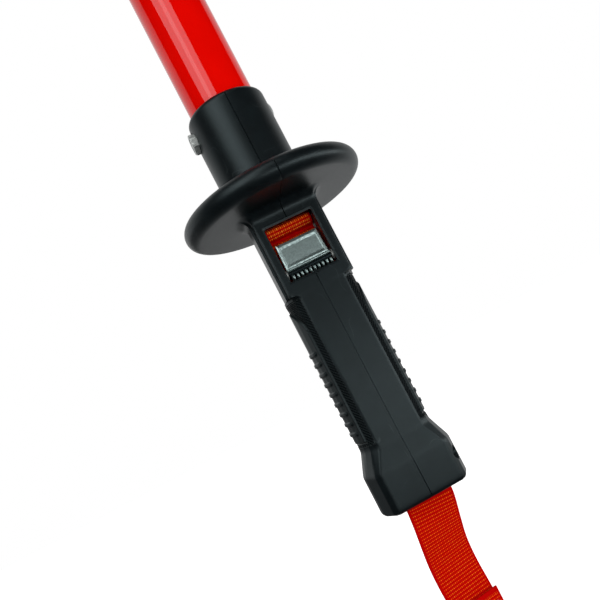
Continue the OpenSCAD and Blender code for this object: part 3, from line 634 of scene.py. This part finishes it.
# %% Stations from the foot to the collar
GUARD_Z, GUARD_T, COLLAR_TOP = 87.0, 11.0, 146.5
FOOT_TOP, TAPER_TOP, NOTCH = -51.0, -39.4, 42.6
FOOT_EDGE, NOTCH_R, COLLAR_FILLET, COLLAR_EDGE = 2.2, 2.4, 2, 3


def eased(t):
    """A straight ramp from 0 to 1 whose ends are rounded over a tenth of its length."""
    fine = np.linspace(-0.2, 1.2, 281)
    ramp = np.convolve(np.pad(np.clip(fine, 0, 1), 20, mode="edge"), np.ones(41) / 41, mode="valid")
    return np.interp(t, fine, ramp)


def stations():
    """Pairs (outline, height) from the bottom of the foot to the top of the collar."""
    edge = np.linspace(0, math.pi / 2, 7)
    yield from [(grown(foot, -FOOT_EDGE * (1 - math.sin(a))), FOOT + FOOT_EDGE * (1 - math.cos(a)))
        for a in edge]
    yield from [(foot, z) for z in np.linspace(FOOT + 4, FOOT_TOP - 3, 5)]
    height = np.linspace(FOOT_TOP - 2.2, TAPER_TOP + 2.2, 27)
    share = eased((height - FOOT_TOP) / (TAPER_TOP - FOOT_TOP))
    yield from [(foot + (lower - foot) * s, z) for s, z in zip(share, height)]
    yield from [(lower, z) for z in np.linspace(TAPER_TOP + 4, NOTCH - 3, 30)]
    for z in np.linspace(NOTCH - NOTCH_R, NOTCH, 9):
        strip = STRIP + NOTCH_R - math.sqrt(NOTCH_R ** 2 - (z - NOTCH + NOTCH_R) ** 2)
        yield outline(lower_corners(strip), GRIP_R, strip - 0.2, 0.25), z
    for by, above in ((-0.35, 0), (-0.1, 0.1), (0, 0.35)):
        share = np.clip(upper[:, :1] - STRIP - 2.6, 0, 1)
        yield upper + (grown(upper, by) - upper) * share, NOTCH + above
    yield from [(upper, z) for z in np.linspace(NOTCH + 2, GUARD_Z - FLARE - 1, 16)]
    for a in np.linspace(0, math.pi / 2, 12):
        yield upper + (flare - upper) * (1 - math.cos(a)), GUARD_Z - FLARE * (1 - math.sin(a))
    rim_r = GUARD_R - GUARD_T / 2
    for share in (0.25, 0.5, 0.75):
        yield flare + (circle * rim_r - flare) * share, GUARD_Z + 0.4 * share * (1 - share)
    for a in np.linspace(-math.pi / 2, math.pi / 2, 25):
        yield circle * (rim_r + GUARD_T / 2 * math.cos(a)), GUARD_Z + GUARD_T / 2 * (1 + math.sin(a))
    for r in (36.0, 30.0, 26.0):
        yield circle * r, GUARD_Z + GUARD_T
    for a in np.linspace(0, math.pi / 2, 8):
        yield (circle * (COLLAR_R + COLLAR_FILLET * (1 - math.sin(a))),
            GUARD_Z + GUARD_T + COLLAR_FILLET * (1 - math.cos(a)))
    yield from [(circle * COLLAR_R, z) for z in np.linspace(GUARD_Z + GUARD_T + 4, COLLAR_TOP - 4.5, 10)]
    for a in np.linspace(0, math.pi / 2, 9):
        yield (circle * (COLLAR_R - COLLAR_EDGE * (1 - math.cos(a))),
            COLLAR_TOP - COLLAR_EDGE * (1 - math.sin(a)))


print("from foot to collar", round(COLLAR_TOP - FOOT, 1), "mm")

# %% Rings with the parting groove
def half_ring(line, z):
    """One station as a ring: the parting faces lie just off the middle, behind a groove.

    The groove is 0.3 mm deep round the guard and the window, and 0.08 mm on the grip, where the halves
    fit closer.
    """
    groove = np.interp(z, [-60, -48, 42, 49], [0.22, 0.08, 0.08, 0.3])
    line = line.copy()
    line[[0, -1], 1] -= np.sign(line[[0, -1], 1]) * groove
    line[[0, -1], 0] = 0.015 + groove / 12
    line[[1, -2], 0] = max(groove, 0.1)
    return np.column_stack([line, np.full(len(line), z)])


rings = np.stack([half_ring(line, z) for line, z in stations()])
print("the handle has", len(rings), "stations of", rings.shape[1], "points")

# %% Pads and the recesses that hold them
PAD_LOW, PAD_HIGH, PAD_BACK, PAD_T, PAD_CORNER = -37.4, 41.2, 4.0, 1.6, 5
side_line, side_run = dense_line(lower_corners(), GRIP_R, 0.25)


def side_grid(columns, rows, grow):
    """Outline points, run along them and heights over one side of the grip.

    Columns follow the outline from the front strip to the back edge of the pad, and rows climb from its
    lower to its upper edge; near the back those edges curve in by a round corner, and the upper front corner
    by the fillet between the window plate and the front strip.
    """
    front = side_line[:, 1] < PALM_Y - 3
    first = np.interp(STRIP + 0.4 - grow, side_line[front, 0], side_run[front])
    last = np.interp(PAD_BACK + grow, side_line[:, 1], side_run)
    run = first + (last - first) * columns
    place = at_distance(run, side_run, side_line)
    past = np.clip(place[:, 1] - (PAD_BACK + grow - PAD_CORNER), 0, PAD_CORNER)
    corner = PAD_CORNER - np.sqrt(PAD_CORNER ** 2 - past ** 2)
    fillet = NOTCH_R - np.sqrt(NOTCH_R ** 2 - (NOTCH_R - np.clip(run - first, 0, NOTCH_R)) ** 2)
    low, high = PAD_LOW - grow + corner, PAD_HIGH + grow - corner - fillet
    return place, run - first, low + (high - low) * rows[:, None]


def on_side(place, height, offset):
    """Points at that offset from the outline, at those heights."""
    flat = place[None] + np.broadcast_to(offset, height.shape)[..., None] * outward(place)[None]
    return np.concatenate([flat, height[..., None]], axis=-1)


place, _, height = side_grid(np.concatenate([np.linspace(0, 0.12, 14), np.linspace(0.15, 1, 50)]),
    np.linspace(0, 1, 30), 0.05)
recess = slab(on_side(place, height, 4.0), on_side(place, height, -PAD_T - 0.05))
print("pad recess", round(PAD_HIGH - PAD_LOW, 1), "mm high")

# %% Holes in both shells
WINDOW_HALF, WINDOW_LOW, WINDOW_HIGH = 12.8, 49.4, 78.0
CAM_Y, CAM_Z, CAM_HOLE_R = -9.7, 53.9, 3.2
TUBE_R, TUBE_LOW = 17.5, 90.5
BOLT_Z, BOLT_HOLE_R = 136.2, 3.2
SCREWS = [(9.5, 73.0), (9.5, 28.0), (9.5, -18.0), (-10.6, -59.3), (12.5, -59.3)]


def flared_slot(half, radius, centre, steps, axis=2):
    """Rounded rectangular hole; steps are pairs (how much wider, how far along)."""
    base = rounded_box(half, radius)
    rings = np.stack([np.column_stack([base + np.sign(base) * wider + centre, np.full(len(base), far)])
        for wider, far in steps])
    return stack(rings if axis == 2 else rings[..., [0, 2, 1]])


strap_slot = [(1.1, FOOT - 1), (1.1, FOOT), (0.35, FOOT + 0.4), (0, FOOT + 1.3), (0, 92)]
window_ledge = [(1.3, -17), (1.3, -14.7), (1.0, -14.4), (1.0, -14.05), (0.35, -13.85), (0, -13.75), (0, -12)]
window_half = (WINDOW_HALF, (WINDOW_HIGH - WINDOW_LOW) / 2)
tube_socket = turned([[TUBE_R + 0.05, TUBE_LOW], [TUBE_R + 0.05, 150]], 160)
cam_room = box_between((-14.5, 14.5), (-13.1, -2.0), (46.5, 78.9))
hollows = [
    tube_socket,
    flared_slot((13.2, 1.7), 0.8, (0, -4.6), strap_slot),
    flared_slot(window_half, 1.0, (0, (WINDOW_LOW + WINDOW_HIGH) / 2), window_ledge, 1),
    cam_room,
    bar(CAM_Y, CAM_Z, -16.5, 16.5, CAM_HOLE_R),
    bar(0, BOLT_Z, -30, 30, BOLT_HOLE_R),
]
# the nut sits in a hexagon on the left, the bolt's head and the screws' heads in round holes on the right
left_holes = [bar(0, BOLT_Z, -30, -18.3, 5.97, 6)] + [bar(y, z, -10, 1, 1.65, 24) for y, z in SCREWS]
right_holes = [bar(0, BOLT_Z, 18.3, 30, 5.55, 48)] + [bar(y, z, -1, 12, 1.95, 24) for y, z in SCREWS] \
    + [bar(y, z, 10.5, 30, 3.8, 40) for y, z in SCREWS]
print(len(hollows), "hollows and", len(SCREWS), "screw holes")

# %% Both shells
def flipped(shape):
    """The same shape on the other side of the handle."""
    points, faces = shape
    return points * np.array([-1, 1, 1]), [f[:, ::-1] for f in faces]


half_block = stack(rings)
for name, block, own in (("handle_shell_right", half_block, [recess] + right_holes),
        ("handle_shell_left", flipped(half_block), [flipped(recess)] + left_holes)):
    shell = carve(block, hollows + own)
    add_piece("moulded_" + name, shell, shell_finish, [name], crease=32)

# %% [markdown]
# ## Grip pads
# Each side of the grip has an inlaid pad: a knurled strip beside the smooth front, then a raised
# panel with cross ribs for the fingers. Displacement modifiers would need a texture, so the relief
# is written as one height over the pad's own two directions: run round the grip and height.

# %% Relief of the pads
KNURL_PITCH, KNURL_DEPTH, SLANT = 1.2, 0.5, 1.414
SUNK = 0.55
RIBS, RIB_STEP, FIRST_RIB = 9, 5.4, -29.5


def step_up(value, width):
    """0 below zero, 1 above width, and a smooth S between."""
    t = np.clip(value / width, 0, 1)
    return t * t * (3 - 2 * t)


def triangle(value):
    """Zigzag from 0 to 1 with a period of 1."""
    return 1 - np.abs(2 * (value - np.floor(value)) - 1)


def nearest(*distances):
    """The smallest of several distances, point by point."""
    return np.minimum.reduce(np.broadcast_arrays(*distances))


def pad_relief(run, height, length):
    """Height of the pad's face over the grip's outline, in mm, and how much of each point is knurled.

    Knurl: the lower of two zigzags that cross at a slant gives small pyramids, one set of grooves deeper than
    the other, sunk below the grip's own surface. Panel: raised behind a groove; its front edge runs straight
    and bends back near the top. Ribs: rounded bars across the panel.
    """
    run = np.broadcast_to(run, height.shape)
    rising, falling = (triangle((height + way * run) / KNURL_PITCH / SLANT) for way in (-1, 1))
    knurl = np.minimum(rising, 0.35 + 0.65 * falling)
    bend = 4.2 + 1.5 * np.clip((height - 22.3) / 6.7, 0, 2.2) ** 2.36
    inward = nearest(run - bend, (length - 1.6) - run, height - PAD_LOW - 2.6, 37.5 - height)
    panel = (SUNK + 0.35) * step_up(inward, 0.45) - 0.22 * np.exp(-(inward / 0.35) ** 2)
    from_rib = height - FIRST_RIB - RIB_STEP * np.clip(np.round((height - FIRST_RIB) / RIB_STEP), 0, RIBS - 1)
    past_end = nearest(run - 7.6, length - 4.4 - run, 0)
    ribs = 0.62 * step_up(1.35 - np.hypot(from_rib, past_end), 0.75)
    border = nearest(run, length - run, height - PAD_LOW, PAD_HIGH - height)
    edge = 0.1 * (1 - step_up(border, 0.3))
    rough = step_up(-inward - 0.5, 0.3) * step_up(border - 0.45, 0.25)
    flush = (SUNK - 0.1) * (1 - step_up(height - PAD_LOW, 2.2))
    return KNURL_DEPTH * (knurl - 0.5) * rough - SUNK + flush + panel + ribs - edge, rough


print("knurl every", KNURL_PITCH, "mm and", RIBS, "ribs")

# %% Both pads
def grip_pad():
    """Right-hand pad: columns are close together over the knurled strip, wider over the panel."""
    length = side_grid(np.array([0.0, 1.0]), np.array([0.0]), 0.0)[1][-1]
    columns = np.concatenate([np.arange(0, 4.6, 0.19), np.arange(4.6, length, 0.33), [length]]) / length
    place, run, height = side_grid(columns, np.linspace(0, 1, 400), 0.0)
    relief, rough = pad_relief(run, height, length)
    return slab(on_side(place, height, relief), on_side(place, height, -PAD_T)), np.append(rough, 0 * rough)


right_pad, knurled = grip_pad()
for name, shape in (("grip_pad_right", right_pad), ("grip_pad_left", flipped(right_pad))):
    mesh = make_mesh(shape)
    mesh.attributes.new("knurl", "FLOAT", "POINT").data.foreach_set("value", knurled)
    add_piece("ribbed_" + name, mesh, pad_finish, [name], crease=50)

# %% [markdown]
# ## Cam lever
# A zinc casting: a thumb plate with a raised border, a rolled lower edge, and a hub with ten hooked
# teeth that press on the webbing. The plate's face is a height over a grid; bar, hub and teeth are
# simple closed shapes, and booleans weld them into the one casting that the real lever is.

# %% Thumb plate
PLATE_TOP, PLATE_LOW = np.array([-13.5, 68.5]), np.array([-13.2, 55.0])
LEVER_W, LEVER_T = 22.7, 1.4
rise_yz = PLATE_TOP - PLATE_LOW
plate_length = float(np.linalg.norm(rise_yz))
plate_up = rise_yz / plate_length
plate_back = np.array([plate_up[1], -plate_up[0]])


def thumb_plate():
    """Slab with a raised border: the depth of its face depends on the distance to the nearest edge.

    From the edge inwards: a rounded rim, a gentle outer slope, a narrow ridge and a slope down to the panel.
    The plate narrows towards its free edge, and its middle drifts 0.25 mm to the left on the way.
    """
    s, t = (np.unique(np.concatenate([np.linspace(0, 1, count), np.linspace(0, edge, 22),
        np.linspace(1 - edge, 1, 22)])) for count, edge in ((26, 0.16), (18, 0.22)))
    along = (t * plate_length)[:, None] + np.zeros(len(s))
    half = LEVER_W / 2 + 0.3 - 0.6 * t[:, None]
    shift = -0.25 - 0.25 * t[:, None]
    x = (2 * s - 1)[None] * half
    side = half - np.abs(x)
    end = nearest(plate_length - along, along - 0.2)
    inside = nearest(side, end)
    face = np.maximum(np.interp(side, [0, 0.12, 0.3, 1.1], [0.75, 0.42, 0.29, 0]),
        np.interp(end, [0, 0.12, 0.3, 1.3], [0.6, 0.32, 0.19, 0]))
    face = face + np.minimum(np.interp(side, [1.25, 1.9], [0, 0.25]), np.interp(end, [1.4, 2.6], [0, 0.25]))
    grain = 0.03 * np.sin(x * 2.9 + 3 * np.sin(along * 1.3)) * np.sin(along * 2.6 + 2 * np.sin(x * 1.1))
    face = face + grain * step_up(inside - 1.9, 0.4)
    x = x + shift
    low = PLATE_LOW[None, None] + along[..., None] * plate_up
    front = low + face[..., None] * plate_back
    back = low + (LEVER_T - 0.25 * (1 - step_up(inside, 0.3)))[..., None] * plate_back
    return slab(np.concatenate([x[..., None], front], axis=-1), np.concatenate([x[..., None], back], axis=-1))


def rolled_bar(y, z, half, radius):
    """Bar across the handle with rounded ends; turned on axis 0, its height runs along x."""
    turn = np.linspace(0, math.pi / 2, 5)
    ends = [[radius - 0.4 * (1 - math.sin(a)), -half + 0.4 * (1 - math.cos(a))] for a in turn]
    profile = ends + [[r, -x] for r, x in ends[::-1]]
    return turned(profile, 40, (y, z), axis=0)


print("thumb plate", round(plate_length, 2), "mm long")

# %% Teeth and the finished casting
TOOTH_COUNT, TOOTH_W = 10, 1.4
FIRST_ANGLE, HOOK_ANGLE, LAST_ANGLE = 206, 224, 357
# the teeth's circle is set off from the pin, so they bite deeper as the webbing pulls
TOOTH_GAP = 0.42
TOOTH_REACH = STRAP_Y - STRAP_T / 2 - TOOTH_GAP - CAM_Y
TOOTH_OFF = 0.22 * TOOTH_REACH
FAR = math.radians(250)
TOOTH_R = TOOTH_REACH + TOOTH_OFF * math.cos(FAR - math.pi) * 0.76
tooth_middle = np.array([CAM_Y + TOOTH_OFF * math.cos(FAR), CAM_Z + TOOTH_OFF * math.sin(FAR)])


def toothed_sector(x, radius, hook=0.0):
    """Side view of the toothed part at one x: part of the circle set off from the pin, closed at the pin.

    hook draws the front of a tooth out, round the hook's angle.
    """
    angle = np.radians(np.linspace(FIRST_ANGLE, LAST_ANGLE, 34))
    reach = np.column_stack([np.cos(angle), np.sin(angle)])
    to_middle = tooth_middle - [CAM_Y, CAM_Z]
    along = reach @ to_middle
    far = along + np.sqrt(along ** 2 - to_middle @ to_middle + radius ** 2)
    far = far * (1 + hook * np.exp(-((np.degrees(angle) - HOOK_ANGLE) / 15) ** 2))
    rim = np.array([CAM_Y, CAM_Z]) + reach * far[:, None]
    outline_yz = np.concatenate([[[CAM_Y, CAM_Z]], rim])
    return np.column_stack([np.full(len(outline_yz), x), outline_yz])


def tooth(x0):
    """A ridge 1.4 mm wide with a round crest: radius falls off as a half circle over its width."""
    return stack(np.stack([
        toothed_sector(x0 + TOOTH_W / 2 * (1 + math.sin(a)), TOOTH_R - 0.9 * (1 - math.cos(a)), 0.16)
        for a in np.linspace(-1, 1, 9) * math.pi / 2]))


tooth_span = LEVER_W - 1.0
tooth_starts = -tooth_span / 2 + np.arange(TOOTH_COUNT) * (tooth_span - TOOTH_W) / (TOOTH_COUNT - 1)
core_half = tooth_span / 2 - 0.1
core = stack(np.stack([toothed_sector(x, TOOTH_R - 2.5) for x in (-core_half, core_half)]))
web = across([PLATE_LOW + [0.9, -0.3], PLATE_LOW + [1, 3.4], [CAM_Y + 1.2, CAM_Z + 2.1], [CAM_Y, CAM_Z],
    [CAM_Y - 1.2, CAM_Z - 1.6]], -LEVER_W / 2 + 0.05, LEVER_W / 2 - 0.05)
hub = rolled_bar(CAM_Y, CAM_Z, 11.8, 2.9)
roll = rolled_bar(PLATE_LOW[0] + 0.86, PLATE_LOW[1] + 0.3, LEVER_W / 2 + 0.2, 0.95)
spring_room = [
    bar(CAM_Y, CAM_Z, -0.6, 6, 2.6),
    box_between((-0.6, 6), (CAM_Y, CAM_Y + 4), (CAM_Z - 0.6, CAM_Z + 5)),
    box_between((-0.55, 0.55), (CAM_Y - 2.7, CAM_Y - 1.2), (CAM_Z - 6, CAM_Z)),
]
casting = carve(hub, [bar(CAM_Y, CAM_Z, -20, 20, 1.55)] + spring_room,
    [thumb_plate(), roll, web, core] + [tooth(x) for x in tooth_starts])
print("hub, plate and", TOOTH_COUNT, "teeth joined")

# %% Painted shade on the casting
# dark in the grooves and round the hub, where shade falls: painted shade mixed into the zinc's colour
tree = lever_finish.node_tree
crevice_shade_ao = add(tree, "AmbientOcclusion", None, 2.0 * MM, samples=8, only_local=True).outputs["AO"]
side_view = add(tree, "VectorMath", add(tree, "TexCoord").outputs["Object"], (0, 1, 1), operation="MULTIPLY")
from_pin = add(tree, "VectorMath", side_view, (0, CAM_Y * MM, CAM_Z * MM), operation="DISTANCE")
unmarked = add(tree, "Math", add(tree, "MapRange", crevice_shade_ao, 0.3, 0.7),
    add(tree, "MapRange", from_pin, 2.92 * MM, 3.12 * MM), operation="MINIMUM")
zinc = tree.nodes["Principled BSDF"].inputs["Base Color"].links[0].from_socket
# painted shade: the zinc turns dark grey where the grooves and the hub lie in shade
dress(tree, Base_Color=add(tree, "Mix", unmarked, paint("#222A2C"), zinc, data_type="RGBA"))
add_piece("cast_lever", casting, lever_finish, ["cam_lever"], body="lever", crease=30)

# %% [markdown]
# ## Pole tube
# Thin aluminium tube. Its gloss shows every facet, so it is turned here with 192 sides, with eased
# ends and the real holes for the bolt, the anchor pin and the cap screws.

# %% Tube
TUBE_WALL, EASED, CAP_SCREW_Z = 1.6, 0.3, 400.5
BORE_R = TUBE_R - TUBE_WALL
climb = np.concatenate([np.linspace(TUBE_LOW + EASED, 384, 30), np.linspace(387, TUBE_TOP - EASED, 9)])
tube_shape = turned([[TUBE_R - EASED, TUBE_LOW]] + [[TUBE_R, z] for z in climb]
    + [[TUBE_R - EASED, TUBE_TOP], [BORE_R + EASED, TUBE_TOP]]
    + [[BORE_R, z] for z in (TUBE_TOP - EASED, 387, 200, TUBE_LOW + EASED)]
    + [[BORE_R + EASED, TUBE_LOW]], 192, hollow=True)
holes = [bar(0, BOLT_Z, -18.5, 18.5, BOLT_HOLE_R), bar(ANCHOR_Y, ANCHOR_Z, -18.5, 18.5, 2.1)]
for sign in (-1, 1):
    countersink = [[1.15, sign * 10], [1.15, sign * 16.2], [2.35, sign * 17.6]]
    holes.append(turned(countersink, 32, (CAP_SCREW_Z, 0), axis=1))
print("turned tube from", TUBE_LOW, "to", TUBE_TOP, "mm")
add_piece("enamelled_tube", carve(tube_shape, holes), tube_finish, ["pole_tube"], crease=40)

# %% [markdown]
# ## Bolt and nut of the collar
# One bolt holds tube and collar together: a domed head with a hexagon socket sinks into the right
# side, and a chamfered hexagon nut stands out of the left. The bolt is a turned section; the nut is
# rings of a hexagon, whose corners are cut back by a cone, as the chamfering tool does it.

# %% Bolt and nut
NUT_FACE, NUT_SEAT, ACROSS_FLATS, SHANK_R = -23.3, -18.4, 10.0, 2.95
NUT_POINTS = 144


def hexagon_nut():
    """Rings of a hexagon, held inside a cone near both faces: radius = min(hexagon, limit at this x)."""
    angle = np.arange(NUT_POINTS) * 2 * math.pi / NUT_POINTS
    hexagon = ACROSS_FLATS / 2 / np.cos((angle + math.pi / 6) % (math.pi / 3) - math.pi / 6)
    limits = np.array([(NUT_SEAT, 3.2), (NUT_SEAT, 5.1), (NUT_SEAT - 0.45, 5.8), (NUT_FACE + 0.55, 5.8),
        (NUT_FACE, 4.95)])
    x, radius = limits[:, :1], np.minimum(hexagon, limits[:, 1:])
    rings = np.broadcast_arrays(x, radius * np.cos(angle), BOLT_Z + radius * np.sin(angle))
    return stack(np.stack(rings, axis=-1))


arc = np.linspace(0.3, math.pi / 2, 9)
dome = [[5.25 * math.cos(a) + 0.02, 19.4 + 2.8 * math.sin(a)] for a in arc[:-1]]
head_profile = [[SHANK_R, 18.0], [5.0, 18.35], [5.22, 18.5], [5.22, 19.9]] + dome
shank_profile = [[SHANK_R - 0.6, NUT_FACE + 0.05], [SHANK_R, NUT_FACE + 0.65], [SHANK_R, 17.9]]
bolt = carve(turned(shank_profile + head_profile, 96, (0, BOLT_Z), axis=0),
    [bar(0, BOLT_Z, 20.0, 24, 2.3, 6)])
nut = carve(hexagon_nut(), [bar(0, BOLT_Z, -30, -10, SHANK_R + 0.03),
    turned([[SHANK_R + 0.7, NUT_FACE - 0.1], [SHANK_R - 0.2, NUT_FACE + 0.75]], 48, (0, BOLT_Z), axis=0)])
add_piece("domed_bolt", bolt, screw_finish, ["collar_bolt"], crease=30)
add_piece("chamfered_nut", nut, screw_finish, ["collar_nut"], crease=30)

# %% [markdown]
# ## Pieces that keep their solids
# Machined pins, screws, the stamped buckle frame, the bush, the spring and the turned end cap are
# already exact as solids, so they only get their finishes. Clearing the slots first drops the grey
# stand-in material that every solid arrives with.

# %% CAD nodes that keep their own shape
for node, finish in {"end_cap": shell_finish, "cap_screws": screw_finish, "anchor_pin": screw_finish,
        "strap_bush": acetal_finish, "shell_screws": screw_finish, "buckle_frame": frame_finish,
        "cam_pin": screw_finish, "cam_clip": frame_finish, "cam_spacers": screw_finish,
        "cam_spring": wire_finish}.items():
    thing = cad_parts[node]
    thing.data.materials.clear()
    thing.data.materials.append(finish)
    print(node, "in", finish.name)

# %% [markdown]
# ## Floor
# A pale floor, as in a plain studio. Light Path tells who asks: the camera sees white with the
# object's shadow on it, gloss sees a glow that grows behind the handle, and the light that the floor
# throws back stays that of a pale grey sheet.

# %% Floor
FLOOR = -0.262
floor_mesh = bpy.data.meshes.new("floor")
floor_mesh.from_pydata([(-6, -6, FLOOR), (6, -6, FLOOR), (6, 6, FLOOR), (-6, 6, FLOOR)], [], [(0, 1, 2, 3)])
floor = bpy.data.objects.new("floor", floor_mesh)
scene.collection.objects.link(floor)
floor_finish, tree, place = new_finish("pale_floor", Base_Color=paint("#E9E9E9"), Roughness=0.9)
white, shader, ray = (1, 1, 1, 1), tree.nodes["Principled BSDF"], add(tree, "LightPath")
# to the camera the floor is white with the object's shadow on it; glossy surfaces see its far part white
lit = add(tree, "AddShader", shader, add(tree, "Emission", white, 0.85))
where = add(tree, "SeparateXYZ", place)
behind = add(tree, "MapRange", where.outputs["Y"], -0.05, 0.5, 0.0, 0.45)
sideways = add(tree, "MapRange", where.outputs["X"], -0.35, 0.35, 0.35, 1.5)
mirror = add(tree, "Emission", white, add(tree, "Math", behind, sideways, operation="MULTIPLY"))
seen = add(tree, "MixShader", ray.outputs["Is Camera Ray"], shader, lit)
seen = add(tree, "MixShader", ray.outputs["Is Glossy Ray"], seen, mirror)
feed(tree, tree.nodes["Material Output"].inputs["Surface"], seen)
floor.data.materials.append(floor_finish)
print("floor at", FLOOR, "m")

# %% [markdown]
# ## World and lamps
# Soft boxes light the handle: a wide and a tall one from the left, which draw the pale band on the
# enamel, low ones from the front and the right that reach under the guard, and one overhead. One
# function places them all, and brightness is given instead of watts, so a box keeps its look when
# its size changes.

# %% World and lamps
world = bpy.data.worlds.new("studio")
scene.world = world
world.use_nodes = True
tree = world.node_tree
ray = add(tree, "LightPath")
way = add(tree, "SeparateXYZ", add(tree, "TexCoord").outputs["Generated"])
# glossy surfaces see the white backdrop behind the object, with a clear side edge, and the dark room in front
backdrop = add(tree, "Math", add(tree, "MapRange", way.outputs["Y"], 0.18, 0.21),
    add(tree, "MapRange", way.outputs["Y"], 0.0, 1.0, 0.3, 0.86), operation="MULTIPLY")
shiny = add(tree, "Mix", ray.outputs["Is Glossy Ray"], 0.5, backdrop)
plain = add(tree, "Math", ray.outputs["Is Camera Ray"], ray.outputs["Is Transmission Ray"],
    operation="MAXIMUM")
feed(tree, tree.nodes["Background"].inputs["Strength"], add(tree, "Mix", plain, shiny, 1.0))
feed(tree, tree.nodes["Background"].inputs["Color"], white)


def softbox(name, side, distance, height, size, brightness):
    """Rectangular lamp that faces the pole; side is its bearing from the front in degrees, plus to the right.

    Its power is brightness times pi times its area, so the box itself looks that bright.
    """
    bearing = math.radians(side)
    place = Vector((distance * math.sin(bearing), -distance * math.cos(bearing), height))
    lamp = bpy.data.objects.new(name, bpy.data.lights.new(name, "AREA"))
    lamp.data.shape, lamp.data.size, lamp.data.size_y = "RECTANGLE", *size
    lamp.data.energy = brightness * math.pi * size[0] * size[1]
    lamp.location = place
    lamp.rotation_euler = (Vector((0, 0, 0.1)) - place).to_track_quat("-Z", "Y").to_euler()
    scene.collection.objects.link(lamp)
    print(name, round(lamp.data.energy, 2), "W")


softbox("wide_left_box", -32.5, 1.08, 0.65, (0.95, 1.05), 1.3)
softbox("bright_left_box", -31, 1.0, 0.48, (0.2, 0.7), 0.8)
softbox("low_right_box", 62, 1.0, -0.06, (1.3, 0.3), 2.4)
softbox("low_front_box", 15, 1.2, -0.15, (1.0, 0.2), 2.7)
softbox("overhead_box", 0, 0.7, 1.1, (0.6, 0.45), 0.95)
